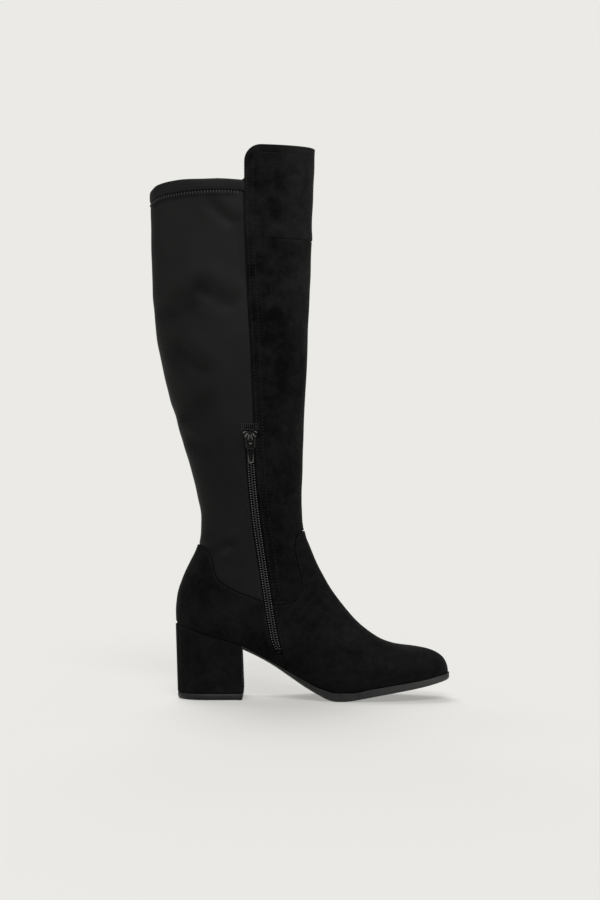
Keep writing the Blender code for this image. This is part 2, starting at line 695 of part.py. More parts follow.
def make_slider(frame):
    """The slider: a crown-shaped plate with a bridge over its middle."""
    plate_top = SLIDER_FLOOR + SLIDER_THICK
    plate_outline = mirrored(SLIDER_PLATE["half"], SLIDER_PLATE["along"])
    plate = slab("zip_slider", plate_outline, SLIDER_FLOOR, plate_top, BLACK_METAL)
    plate.matrix_world = frame
    arch = list(zip(BRIDGE_ARCH["along"], BRIDGE_ARCH["out"]))
    bridge = slab("zip_bridge", arch, -BRIDGE_WIDTH / 2, BRIDGE_WIDTH / 2)
    stand = Matrix(((0, 0, 1, 0), (1, 0, 0, 0), (0, 1, 0, plate_top * MM), (0, 0, 0, 1)))
    bridge.matrix_world = frame @ stand
    bridge.hide_render = True
    bridge.display_type = "WIRE"
    boolean(plate, bridge, "UNION")


def make_pull(frame):
    """The pull tab: an open frame that tapers down from the bar held under the bridge."""
    rims = [
        mirrored(PULL_RIM["outer"], PULL_RIM["outer_along"]),
        mirrored(PULL_RIM["inner"], PULL_RIM["inner_along"]),
    ]
    count = len(rims[0])
    vertices = [(x, y, z) for z in (-PULL_THICK / 2, PULL_THICK / 2) for rim in rims for x, y in rim]
    faces = []
    for k in range(count):
        n = (k + 1) % count
        faces.append((k, n, n + count, k + count))
        faces.append((k + 2 * count, k + 3 * count, n + 3 * count, n + 2 * count))
        faces.append((k, k + 2 * count, n + 2 * count, n))
        faces.append((k + count, n + count, n + 3 * count, k + 3 * count))
    pull = new_object("zip_pull", vertices, faces, BLACK_METAL)
    lift = Matrix.Translation((0, 0, (SLIDER_FLOOR + SLIDER_THICK + PULL_LIFT) * MM))
    pull.matrix_world = frame @ lift


def loft(name, sections, finish):
    """A closed solid through sections of the same number of points, capped at both ends."""
    count = len(sections[0])
    vertices = [point for ring in sections for point in ring]
    faces = [tuple(range(count)), tuple(range(len(vertices) - 1, len(vertices) - count - 1, -1))]
    for r in range(len(sections) - 1):
        for k in range(count):
            n = (k + 1) % count
            faces.append((r * count + k, r * count + n, (r + 1) * count + n, (r + 1) * count + k))
    return new_object(name, vertices, faces, finish)


def sole_stations(first_x, last_x):
    """The places of the foot's sections from first_x to last_x, with both ends, heel to toe."""
    x = np.concatenate([FOOT["low_x"], FLAT_FOREFOOT_X])
    inside = x[(x > first_x + END_ROOM) & (x < last_x - END_ROOM)]
    return np.unique(np.concatenate([inside, (first_x, last_x)]))


def make_outsole():
    """The outsole, from the heel's breast to the toe, flat on the floor under the ball."""
    sections = []
    for x in sole_stations(OUTSOLE_START_X, TOE_TIP_X - END_ROOM):
        edge = LAPPED_SUEDE[1] + tread("welt", x)
        top_x, medial, lateral = outline(x, edge)
        low_x, low_medial, low_lateral = outline(x, edge - tread("slope", x))
        centre, top_z, low_z = last("centre", x), under_seat(top_x), tread("bottom", low_x)
        side_z = max(top_z - tread("side", x), low_z + OUTSOLE_LEAST_SIDE)
        sections.append([
            (top_x, medial, top_z),
            (top_x, medial, side_z),
            (low_x, low_medial, low_z),
            (low_x, centre, low_z),
            (low_x, low_lateral, low_z),
            (top_x, lateral, side_z),
            (top_x, lateral, top_z),
            (top_x, centre, top_z),
        ])
    loft("outsole", sections, GREY_RUBBER)


def make_insole():
    """The insole, which closes the upper underneath."""
    sections = []
    for x in sole_stations(HEEL_BACK_X + END_ROOM, TOE_TIP_X - END_ROOM):
        at, medial, lateral = outline(x, LINING[0] - INSOLE_CLEARANCE)
        low, centre = last("seat", at), last("centre", x)
        top = low + INSOLE_THICK * np.hypot(1, seat_slope(at))
        sections.append([
            (at, medial, low),
            (at, centre, low),
            (at, lateral, low),
            (at, lateral, top),
            (at, centre, top),
            (at, medial, top),
        ])
    loft("insole", sections, BLACK_LINING)


def make_heel():
    """The covered block, from the seat to the rubber tip under it, and that tip."""
    block, tip = [], []
    back = HEEL_BACK_X - LAPPED_SUEDE[1]
    taper = HEEL_LOW_HALF / (last("half", HEEL_ROUND_X) + LAPPED_SUEDE[1])
    bevel = 1 - HEEL_TIP_BEVEL / HEEL_LOW_HALF
    for x in sole_stations(HEEL_BACK_X + END_ROOM, HEEL_BREAST_TOP_X):
        top_x, medial, lateral = outline(x, LAPPED_SUEDE[1])
        share = (top_x - back) / (HEEL_BREAST_TOP_X - back)
        low_x = HEEL_LOW_BACK_X + share * (HEEL_BREAST_LOW_X - HEEL_LOW_BACK_X)
        floor_x = low_x + HEEL_TIP_BEVEL * (1 - 2 * share)
        low_medial, low_lateral = medial * taper, lateral * taper
        block.append([
            (top_x, medial, under_seat(top_x)),
            (low_x, low_medial, HEEL_TIP_THICK + GAP),
            (low_x, low_lateral, HEEL_TIP_THICK + GAP),
            (top_x, lateral, under_seat(top_x)),
        ])
        tip.append([
            (low_x, low_medial, HEEL_TIP_THICK),
            (low_x, low_medial, HEEL_TIP_BEVEL),
            (floor_x, low_medial * bevel, 0.0),
            (floor_x, low_lateral * bevel, 0.0),
            (low_x, low_lateral, HEEL_TIP_BEVEL),
            (low_x, low_lateral, HEEL_TIP_THICK),
        ])
    loft("heel_block", block, BLACK_SUEDE)
    loft("heel_tip", tip, GREY_RUBBER)


def main():
    """Clear the scene and make the boot."""
    for thing in list(bpy.data.objects):
        bpy.data.objects.remove(thing)
    surface = Surface()
    make_upper(surface)
    make_zip(surface)
    frame = slider_frame(surface)
    make_slider(frame)
    make_pull(frame)
    make_outsole()
    make_insole()
    make_heel()


main()
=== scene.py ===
"""Looks of an over-the-knee boot for the left foot.

Suede front and foot, stretch back, half zip on the inner side, covered block heel. Every soft panel is
cut from one surface: the last, a fan of sections over the foot that closes round the heel and climbs the
leg. Sizes are in millimetres and the meshes are written in metres. +X runs to the toe, +Y to the outer
side of the leg and +Z up.
"""

from __future__ import annotations

import json
import logging
from dataclasses import dataclass, field
from enum import Enum
from typing import Callable, ClassVar

import bpy
import numpy as np
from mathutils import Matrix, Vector

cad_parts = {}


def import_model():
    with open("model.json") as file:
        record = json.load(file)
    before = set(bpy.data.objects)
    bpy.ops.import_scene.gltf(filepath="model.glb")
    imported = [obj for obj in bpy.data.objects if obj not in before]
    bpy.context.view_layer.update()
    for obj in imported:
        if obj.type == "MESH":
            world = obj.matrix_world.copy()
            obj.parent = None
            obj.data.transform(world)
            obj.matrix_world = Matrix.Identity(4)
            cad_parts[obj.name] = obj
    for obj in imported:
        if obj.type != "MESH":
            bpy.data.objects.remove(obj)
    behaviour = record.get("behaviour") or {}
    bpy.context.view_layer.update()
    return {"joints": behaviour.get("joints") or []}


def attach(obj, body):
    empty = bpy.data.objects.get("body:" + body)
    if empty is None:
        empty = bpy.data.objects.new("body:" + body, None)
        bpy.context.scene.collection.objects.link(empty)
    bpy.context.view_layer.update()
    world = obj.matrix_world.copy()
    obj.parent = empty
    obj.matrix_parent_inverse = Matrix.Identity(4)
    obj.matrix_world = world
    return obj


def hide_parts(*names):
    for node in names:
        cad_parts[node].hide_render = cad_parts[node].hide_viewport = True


LOG = logging.getLogger("boot")
Array = np.ndarray
Collection = bpy.types.Collection
Socket = bpy.types.NodeSocket
MM = 0.001
HALF_PI = np.pi / 2
NO_LENGTH = 1e-12
SHARP = 40.0


# ---------------------------------------------------------------------------- curves and tables


def smooth(knots: Array, values: Array, at: Array) -> Array:
    """Reads a cubic curve through (knots, values) that adds no bump between two of them.

    The slope at a knot is the weighted harmonic mean of the slopes on its two sides, or nothing where
    they differ in sign.

    Args:
        knots: Places of the known values, rising.
        values: The known values.
        at: Places to read, held to the knots' range.

    Returns:
        The curve's value at each place.
    """
    at = np.clip(np.asarray(at, float), knots[0], knots[-1])
    step = np.diff(knots)
    slope = np.diff(values) / step
    tangent = np.zeros(len(values))
    tangent[0], tangent[-1] = slope[0], slope[-1]
    same = slope[1:] * slope[:-1] > 0
    before, after = (2 * step[1:] + step[:-1])[same], (step[1:] + 2 * step[:-1])[same]
    inner = tangent[1:-1]
    inner[same] = (before + after) / (before / slope[:-1][same] + after / slope[1:][same])
    k = np.clip(np.searchsorted(knots, at, side="right") - 1, 0, len(step) - 1)
    t = (at - knots[k]) / step[k]
    near = (1 + 2 * t) * (1 - t) ** 2 * values[k] + t * (1 - t) ** 2 * step[k] * tangent[k]
    far = t**2 * (3 - 2 * t) * values[k + 1] + t**2 * (t - 1) * step[k] * tangent[k + 1]
    return near + far


def ease(value: Array) -> Array:
    """Smooth step from 0 at or below 0 to 1 at or above 1."""
    t = np.clip(value, 0, 1)
    return t * t * (3 - 2 * t)


def bell(value: Array) -> Array:
    """A bump of height 1 at 0 that fades by 2."""
    return np.exp(-(value**2))


def unit(vectors: Array) -> Array:
    """Vectors of length 1 along the given rows."""
    return vectors / np.maximum(np.linalg.norm(vectors, axis=-1, keepdims=True), NO_LENGTH)


def lengths(line: Array) -> Array:
    """Length along a line at each of its points."""
    return np.concatenate([[0], np.cumsum(np.linalg.norm(np.diff(line, axis=0), axis=1))])


def read_run(at: Array, run: Array, values: Array) -> Array:
    """The columns of values, known at run, read at other lengths or heights."""
    return np.column_stack([np.interp(at, run, column) for column in values.T])


@dataclass(frozen=True)
class Table:
    """Named columns of numbers, a row for each section or point."""

    columns: dict[str, Array]

    @classmethod
    def of(cls, header: str, *rows: tuple[float, ...]) -> Table:
        """Builds the table from a line of names and its rows."""
        return cls({n: np.array([row[k] for row in rows], float) for k, n in enumerate(header.split())})

    def __getitem__(self, name: str) -> Array:
        """One column."""
        return self.columns[name]

    def read(self, name: str, at: Array) -> Array:
        """One column as a smooth function of the first."""
        return smooth(next(iter(self.columns.values())), self.columns[name], at)

    def points(self) -> Array:
        """The first two columns as a list of points."""
        first, second = list(self.columns.values())[:2]
        return np.column_stack([first, second])


LAST = Table.of(
    "x       seat   centre  half   medial  lateral",
    (-31.4, 71.6, 0.0, 28.0, 31.4, 32.0),
    (-20.0, 67.6, 0.2, 28.0, 31.4, 32.2),
    (0.0, 60.6, 0.6, 28.2, 31.6, 32.8),
    (20.0, 55.2, 1.2, 28.2, 31.8, 33.8),
    (31.0, 51.0, 1.6, 28.0, 32.0, 34.4),
    (45.0, 43.8, 2.4, 27.6, 32.6, 35.4),
    (60.0, 35.6, 3.6, 28.2, 33.6, 37.2),
    (75.0, 27.2, 4.2, 30.6, 35.8, 40.0),
    (90.0, 18.8, 4.0, 34.6, 38.4, 43.0),
    (105.0, 11.8, 3.2, 38.6, 41.2, 45.4),
    (118.0, 8.0, 2.0, 40.8, 42.8, 46.0),
    (132.0, 7.8, 0.8, 41.6, 43.4, 45.4),
    (150.0, 11.2, -0.8, 41.6, 44.2, 44.0),
    (172.0, 15.0, -2.6, 41.6, 46.0, 41.6),
    (200.0, 19.4, -4.6, 41.6, 48.0, 39.4),
    (226.0, 24.8, -6.0, 41.6, 49.4, 38.0),
)
HEEL_ROUND_X, HEEL_BACK_X = 0.0, -31.4
TOE_ROUND_X, TOE_TIP_X = 140.0, 223.6
HEEL_POWER = 2.4
TOE_POWER, TOE_ROOT = 2.2, 1.9

TREAD = Table.of(
    "x      bottom  side  slope  welt",
    (29.5, 48.0, 1.4, 7.0, 0.1),
    (45.0, 40.5, 1.5, 7.0, 0.1),
    (60.0, 32.0, 1.8, 6.0, 0.2),
    (75.0, 22.1, 2.9, 4.6, 0.4),
    (90.0, 12.4, 4.0, 3.0, 0.7),
    (98.0, 8.0, 4.8, 2.3, 0.9),
    (104.0, 4.8, 5.1, 2.1, 0.9),
    (109.5, 2.1, 5.4, 1.9, 1.0),
    (114.5, 0.6, 5.6, 1.8, 1.0),
    (119.0, 0.0, 5.7, 1.8, 1.0),
    (125.0, 0.0, 5.6, 1.8, 1.0),
    (131.0, 0.6, 5.3, 1.8, 1.0),
    (144.0, 2.9, 4.9, 1.7, 1.0),
    (153.0, 4.7, 4.8, 1.6, 1.0),
    (172.0, 8.2, 4.7, 1.5, 1.0),
    (200.0, 13.2, 4.7, 1.5, 1.0),
    (226.0, 18.8, 4.7, 1.5, 1.0),
)

# Foot sections, toe to heel: place on the sole edge, top point, its sideways place, how high the widest
# level lies, how much of the height stays that wide, and how far the top is narrowed.
FOOT = Table.of(
    "low_x    top_x   top_z  ridge  widest  flat  narrow",
    (223.6, 223.6, 24.3, -6.0, 0.46, 0.00, 0.00),
    (223.2, 223.2, 28.8, -6.0, 0.45, 0.00, -0.05),
    (221.8, 221.8, 33.6, -6.1, 0.44, 0.00, -0.08),
    (218.8, 218.8, 38.4, -6.3, 0.43, 0.00, -0.10),
    (213.4, 213.4, 42.6, -6.6, 0.42, 0.00, -0.10),
    (205.0, 205.0, 46.1, -7.1, 0.41, 0.00, -0.08),
    (193.0, 193.0, 48.5, -7.6, 0.40, 0.00, -0.04),
    (178.0, 178.0, 50.6, -8.0, 0.39, 0.00, 0.00),
    (162.0, 162.4, 55.4, -8.3, 0.38, 0.00, 0.06),
    (147.0, 148.8, 62.9, -8.3, 0.37, 0.00, 0.12),
    (134.0, 138.6, 71.1, -7.9, 0.36, 0.00, 0.15),
    (121.0, 129.6, 81.1, -7.2, 0.34, 0.00, 0.18),
    (108.0, 121.6, 91.4, -6.4, 0.32, 0.00, 0.20),
    (95.0, 114.7, 101.2, -5.4, 0.31, 0.01, 0.21),
    (82.0, 109.2, 109.8, -4.6, 0.30, 0.02, 0.21),
    (69.0, 104.9, 117.4, -3.9, 0.29, 0.05, 0.20),
    (56.0, 101.3, 124.0, -3.3, 0.27, 0.09, 0.19),
    (43.0, 98.4, 130.2, -2.8, 0.25, 0.13, 0.18),
    (31.0, 96.1, 135.4, -2.3, 0.23, 0.17, 0.17),
    (1.0, 92.1, 144.8, -1.4, 0.21, 0.22, 0.15),
    (-12.0, 90.8, 148.0, -1.1, 0.22, 0.23, 0.14),
    (-21.0, 90.0, 150.2, -0.9, 0.235, 0.23, 0.13),
    (-27.4, 89.4, 152.0, -0.6, 0.26, 0.22, 0.12),
    (-30.6, 89.1, 153.6, -0.3, 0.28, 0.21, 0.12),
)

# Sections of the heel and the leg, upwards: back point, front point, reach to each side, how far from
# the back the widest level lies, how long it stays that wide, and how far front and back are narrowed.
LEG = Table.of(
    "back_x  back_z  front_x  front_z  medial  lateral  widest  flat  narrow  heel",
    (-31.4, 71.6, 88.8, 155.2, 31.4, 32.0, 0.29, 0.20, 0.12, 0.00),
    (-31.7, 82.5, 88.1, 158.4, 32.0, 32.6, 0.31, 0.19, 0.12, 0.00),
    (-30.3, 97.0, 87.3, 162.4, 32.6, 33.2, 0.33, 0.17, 0.12, 0.02),
    (-25.2, 113.0, 86.7, 167.0, 33.2, 33.8, 0.36, 0.14, 0.11, 0.06),
    (-18.4, 128.0, 86.2, 172.0, 33.8, 34.2, 0.39, 0.11, 0.10, 0.10),
    (-11.9, 142.6, 85.9, 177.6, 34.2, 34.6, 0.42, 0.07, 0.10, 0.14),
    (-8.8, 155.5, 85.7, 184.0, 34.4, 34.8, 0.45, 0.04, 0.09, 0.16),
    (-9.0, 172.0, 85.7, 193.0, 34.6, 35.0, 0.48, 0.01, 0.08, 0.16),
    (-12.6, 192.0, 86.0, 206.0, 35.0, 35.4, 0.50, 0.00, 0.07, 0.15),
    (-19.5, 220.0, 86.8, 227.0, 35.8, 36.2, 0.50, 0.00, 0.06, 0.12),
    (-30.9, 258.0, 88.0, 258.0, 37.0, 37.4, 0.49, 0.00, 0.05, 0.09),
    (-42.8, 301.0, 89.9, 301.0, 38.6, 39.0, 0.48, 0.00, 0.04, 0.06),
    (-51.6, 344.0, 91.8, 344.0, 40.0, 40.4, 0.48, 0.00, 0.03, 0.04),
    (-55.3, 392.0, 93.8, 392.0, 41.0, 41.4, 0.48, 0.00, 0.02, 0.03),
    (-57.5, 526.0, 98.6, 526.0, 42.4, 42.8, 0.48, 0.00, 0.02, 0.02),
)

# Lines of the upper as seen from the side.
SEAM = Table.of(
    "z       x",
    (-10.0, 82.5),
    (10.0, 77.6),
    (28.0, 73.2),
    (33.5, 71.8),
    (48.4, 67.4),
    (70.0, 62.8),
    (95.0, 58.7),
    (122.0, 54.5),
    (151.0, 50.2),
    (170.0, 47.6),
    (222.0, 42.9),
    (260.0, 41.6),
    (342.0, 38.1),
    (375.0, 36.2),
    (484.0, 32.6),
    (530.0, 32.6),
)
VAMP_EDGE = Table.of(
    "x     z",
    (130.0, 158.4),
    (100.0, 158.4),
    (90.0, 158.4),
    (86.5, 158.0),
    (83.6, 156.4),
    (81.4, 153.0),
    (80.2, 148.4),
    (79.8, 142.0),
    (81.1, 133.0),
    (83.6, 121.5),
    (86.0, 110.5),
    (86.6, 103.8),
    (85.0, 98.2),
    (81.4, 94.2),
    (76.0, 91.4),
    (67.0, 89.6),
    (59.3, 89.3),
)
COUNTER_EDGE = Table.of(
    "x     z",
    (-60.0, 146.4),
    (-30.0, 146.4),
    (-13.0, 146.0),
    (-6.4, 143.2),
    (-1.8, 139.2),
    (1.2, 134.8),
    (2.8, 130.0),
    (4.0, 122.6),
    (6.6, 115.6),
    (11.4, 110.2),
    (19.6, 104.8),
    (32.4, 99.2),
    (45.0, 94.6),
    (59.0, 90.4),
)
HEM_LINE = Table.of(
    "x     z",
    (-90.0, 465.8),
    (-58.2, 466.8),
    (-50.4, 471.4),
    (-38.0, 474.0),
    (-15.0, 476.0),
    (8.0, 476.8),
    (34.0, 475.4),
)
HEM_FRONT_Z, COLLAR_RISE = 475.6, 12.0
PANEL_TOP_Z, PANEL_CORNER_R = 519.7, 16.4
EDGES_MEET_Z = 90.2
FAR, FAR_LOW_Z = 300.0, -10.0

ZIP_LOW_Z, ZIP_TOP_Z = 45.0, 257.0
ZIP_TAPER, ZIP_TAPER_LENGTH = 3.0, 12.0
CHANNEL_WIDTH = 7.8
SLIDER_Z, PULL_REACH = 243.6, 20.5


def seam_x(z: Array) -> Array:
    """The x of the seam behind the front panel at height z."""
    return SEAM.read("x", z)


def toe_close(x: Array) -> Array:
    """Share of the full width left at station x of the toe, 1 to 0."""
    share = np.clip((x - TOE_ROUND_X) / (TOE_TIP_X - TOE_ROUND_X), 0, 1)
    return (1 - share**TOE_POWER) ** (1 / TOE_ROOT)


def sole_edge(x: Array, outset: float | Array) -> tuple[Array, Array, Array]:
    """The line where upper and sole meet, moved out by outset.

    The half width is the last's, closed at the toe and the heel by a rounded power curve, and the ends
    move along x by the same outset.

    Args:
        x: Stations along the sole.
        outset: Distance outwards.

    Returns:
        x, and y to the inner and the outer side.
    """
    toe = np.clip((x - TOE_ROUND_X) / (TOE_TIP_X - TOE_ROUND_X), 0, 1)
    heel = np.clip((HEEL_ROUND_X - x) / (HEEL_ROUND_X - HEEL_BACK_X), 0, 1)
    half = (LAST.read("half", x) + outset) * toe_close(x) * (1 - heel**HEEL_POWER) ** 0.5
    centre = LAST.read("centre", x)
    return x + outset * (toe - heel), centre - half, centre + half


def seat_slope(x: Array) -> Array:
    """How steeply the sole edge climbs towards the toe at x."""
    return LAST.read("seat", x + 0.5) - LAST.read("seat", x - 0.5)


# ---------------------------------------------------------------------------- sheets of triangles


@dataclass
class Sheet:
    """A sheet of triangles: points, the way out at each, faces, and named values at the points."""

    points: Array
    normals: Array
    faces: Array
    values: dict[str, Array] = field(default_factory=dict)

    NEAR: ClassVar[float] = 0.12
    ON_LINE: ClassVar[float] = 1e-6

    def split(self, name: str, level: float) -> Sheet:
        """Splits the faces along the line where a value meets a level.

        A face with one corner beyond the line gives three, and a face with a corner on it gives two.

        Args:
            name: Which value is read.
            level: The level of the line.

        Returns:
            The sheet with corners along the line.
        """
        value = self.values[name] - level
        value = np.where(np.abs(value) < self.NEAR, 0.0, value)
        sign = np.sign(value)[self.faces]
        crossed = (sign.min(1) < 0) & (sign.max(1) > 0)
        faces, sign = self.faces[crossed], sign[crossed]
        on_line = (sign == 0).any(1)
        lone = np.where(on_line[:, None], sign == 0, sign == -np.sign(sign.sum(1))[:, None]).argmax(1)
        turn = (lone[:, None] + np.arange(3)) % 3
        faces = np.take_along_axis(faces, turn, 1)
        a, b, c = faces[~on_line].T
        z, p, q = faces[on_line].T
        pairs = np.concatenate([np.column_stack([a, b]), np.column_stack([a, c]), np.column_stack([p, q])])
        edges, index = np.unique(np.sort(pairs, axis=1), axis=0, return_inverse=True)
        index = index.ravel() + len(self.points)
        ab, ac, pq = np.split(index, [len(a), 2 * len(a)])
        made = [(a, ab, ac), (ab, b, c), (ab, c, ac), (z, p, pq), (z, pq, q)]
        faces = np.concatenate([self.faces[~crossed]] + [np.column_stack(corners) for corners in made])
        share = value[edges[:, 0]] / (value[edges[:, 0]] - value[edges[:, 1]])

        def between(whole: Array) -> Array:
            """The values at the old points, and at the new ones by their share of the edge."""
            t = share.reshape((-1,) + (1,) * (whole.ndim - 1))
            return np.concatenate([whole, whole[edges[:, 0]] * (1 - t) + whole[edges[:, 1]] * t])

        values = {key: between(v) for key, v in self.values.items()}
        values[name] = np.concatenate([value, np.zeros(len(edges))]) + level
        return Sheet(between(self.points), unit(between(self.normals)), faces, values)

    def below(self, name: str, level: float) -> Sheet:
        """The part of the sheet where a value is below a level."""
        sheet = self.split(name, level)
        return sheet.only(sheet.values[name][sheet.faces].mean(1) < level)

    def only(self, kept: Array) -> Sheet:
        """The sheet with only some of its faces, and no unused points."""
        used, index = np.unique(self.faces[kept], return_inverse=True)
        values = {key: v[used] for key, v in self.values.items()}
        return Sheet(self.points[used], self.normals[used], index.reshape(-1, 3), values)

    def edges(self) -> Array:
        """Each face's three edges as pairs of points along it."""
        return np.concatenate([self.faces[:, [k, (k + 1) % 3]] for k in range(3)])

    def rim(self) -> Array:
        """The edges that only one face has, as pairs of points along that face."""
        pairs = self.edges()
        _, index, count = np.unique(np.sort(pairs, axis=1), axis=0, return_inverse=True, return_counts=True)
        return pairs[count[index.ravel()] == 1]

    def near(self, ring: Array, reach: float) -> Sheet:
        """The part whose faces lie within reach of a ring's box in the side view."""
        low, high = ring.min(axis=0) - reach, ring.max(axis=0) + reach
        side = self.points[:, [0, 2]][self.faces]
        return self.only(((side.max(axis=1) > low) & (side.min(axis=1) < high)).all(axis=1))

    def wall(self, inner: float, outer: Array | float) -> tuple[Array, Array]:
        """A closed wall between two heights over the sheet.

        Args:
            inner: Height of its inner face.
            outer: Height of its outer face, or one for each point.

        Returns:
            Its points and its triangles.
        """
        count = len(self.points)
        heights = (np.broadcast_to(height, count)[:, None] for height in (outer, inner))
        points = np.concatenate([self.points + self.normals * height for height in heights])
        a, b = self.rim().T
        sides = [np.column_stack([b, a, a + count]), np.column_stack([b, a + count, b + count])]
        return points, np.concatenate([self.faces, self.faces[:, ::-1] + count] + sides)

    def line(self, name: str, level: float) -> tuple[Array, Array]:
        """Points and ways out where a value meets a level, in no order."""
        pairs = np.unique(np.sort(self.edges(), axis=1), axis=0)
        value = self.values[name] - level
        value = np.where(np.abs(value) < self.ON_LINE, 0.0, value)
        a, b = pairs[value[pairs[:, 0]] * value[pairs[:, 1]] < 0].T
        t = (value[a] / (value[a] - value[b]))[:, None]
        on = value == 0
        crossing, out = (v[a] * (1 - t) + v[b] * t for v in (self.points, self.normals))
        return np.vstack([crossing, self.points[on]]), unit(np.vstack([out, self.normals[on]]))


@dataclass
class Last:
    """The boot's form as a grid of sections, with the steps between sections and round them."""

    row_step: float = 2.4
    side_columns: int = 80
    curve_spread: float = 30.0
    samples: int = 60
    first_u: float = 1.2
    seed: int = 5
    waves: int = 14
    wave_lengths: tuple[float, float] = (24.0, 70.0)
    wave_height: float = 0.28
    evened_rows: int = 15
    evened_reach: float = 22.0
    fold_bow: float = 0.06
    fold_ridge: float = 0.25
    fold_end: float = 0.35
    fold_shade: float = 0.4
    fold_across: float = 12.0
    seat_flat: float = 3.0
    seat_fade: float = 12.0
    zip_flat: float = 7.0
    zip_fade: float = 10.0
    zip_above: float = 14.0

    def __post_init__(self) -> None:
        """Works out the sheet."""
        self.toe_span, self.heel_span = TOE_TIP_X - TOE_ROUND_X, HEEL_ROUND_X - HEEL_BACK_X
        self.foot_u = self.toe_span * HALF_PI + TOE_ROUND_X - HEEL_ROUND_X + self.heel_span * HALF_PI
        self.sheet = self.make_sheet()

    def u_of(self, low_x: Array) -> Array:
        """Length along the sole edge from the toe's tip to station low_x, with both ends as arcs."""
        toe = np.arcsin(np.clip((low_x - TOE_ROUND_X) / self.toe_span, 0, 1))
        heel = np.arcsin(np.clip((HEEL_ROUND_X - low_x) / self.heel_span, 0, 1))
        middle = TOE_ROUND_X - np.clip(low_x, HEEL_ROUND_X, TOE_ROUND_X)
        return self.toe_span * (HALF_PI - toe) + middle + self.heel_span * heel

    def x_of(self, u: Array) -> Array:
        """The station at a length along the sole edge."""
        toe_u = self.toe_span * HALF_PI
        straight_u = toe_u + TOE_ROUND_X - HEEL_ROUND_X
        toe = TOE_ROUND_X + self.toe_span * np.cos(np.minimum(u, toe_u) / self.toe_span)
        heel = HEEL_ROUND_X - self.heel_span * np.sin(np.maximum(u - straight_u, 0) / self.heel_span)
        return np.where(u < toe_u, toe, np.where(u < straight_u, TOE_ROUND_X - (u - toe_u), heel))

    def rings(self) -> tuple[Array, int]:
        """All sections as points, and the number of the first one that closes round the heel.

        A section runs from the sole edge, or the back, up to the ridge and down the other side. Each
        half is part of a quarter ellipse up to its widest level, then straight, then a quarter ellipse.
        """
        back = np.hypot(np.diff(LEG["back_x"]), np.diff(LEG["back_z"]))
        leg_u = self.foot_u + np.concatenate([[0], np.cumsum(back)])
        knots = np.concatenate([self.u_of(FOOT["low_x"]), leg_u])
        foot_rows = np.linspace(self.first_u, self.foot_u, int(self.foot_u / self.row_step))[:-1]
        leg_rows = np.linspace(self.foot_u, leg_u[-1], int((leg_u[-1] - self.foot_u) / self.row_step))
        u = np.concatenate([foot_rows, leg_rows])
        on_leg = u >= self.foot_u

        def column(foot: str | float, leg: str | float) -> Array:
            """A column of both tables, read along the boot."""
            ends = [
                np.full(len(table["narrow"]), name) if isinstance(name, float) else table[name]
                for table, name in ((FOOT, foot), (LEG, leg))
            ]
            return smooth(knots, np.concatenate(ends), u)

        x = self.x_of(np.minimum(u, self.foot_u))
        _, medial, lateral = sole_edge(x, 0.0)
        centre = np.where(on_leg, 0.0, LAST.read("centre", x))
        low_x = np.where(on_leg, smooth(leg_u, LEG["back_x"], u), x)
        low_z = np.where(on_leg, smooth(leg_u, LEG["back_z"], u), LAST.read("seat", x))
        ridge = np.where(on_leg, 0.0, column("ridge", 0.0))
        top = np.column_stack([column("top_x", "front_x"), column("top_z", "front_z")])
        along = top - np.column_stack([low_x, low_z])
        height = np.hypot(*along.T)
        along /= height[:, None]
        shape = tuple(column(name, name) for name in ("widest", "flat", "narrow")) + (column(0.0, "heel"),)
        beside = self.evened_rows // 2
        mean = np.full(self.evened_rows, 1 / self.evened_rows)
        halves = []
        for sign, foot, last_column in ((-1, medial, "medial"), (1, lateral, "lateral")):
            reach = LAST.read(last_column, x) * sign
            wide = LAST.read("centre", x) + (reach - LAST.read("centre", x)) * toe_close(x)
            wide = np.where(on_leg, sign * smooth(leg_u, LEG[last_column], u), wide)
            evened = np.convolve(np.pad(wide, beside, mode="edge"), mean, "valid")
            wide = wide + (evened - wide) * bell((u - self.foot_u) / self.evened_reach)
            foot = np.where(on_leg, 0.0, foot)
            y, s = self.half_sections(centre, foot, wide, ridge, height, shape)
            x_run, z_run = low_x[:, None] + s * along[:, :1], low_z[:, None] + s * along[:, 1:]
            halves.append(np.stack([x_run, y, z_run], axis=2))
        return np.concatenate([halves[0], halves[1][:, -2::-1]], axis=1), int(np.argmax(on_leg))

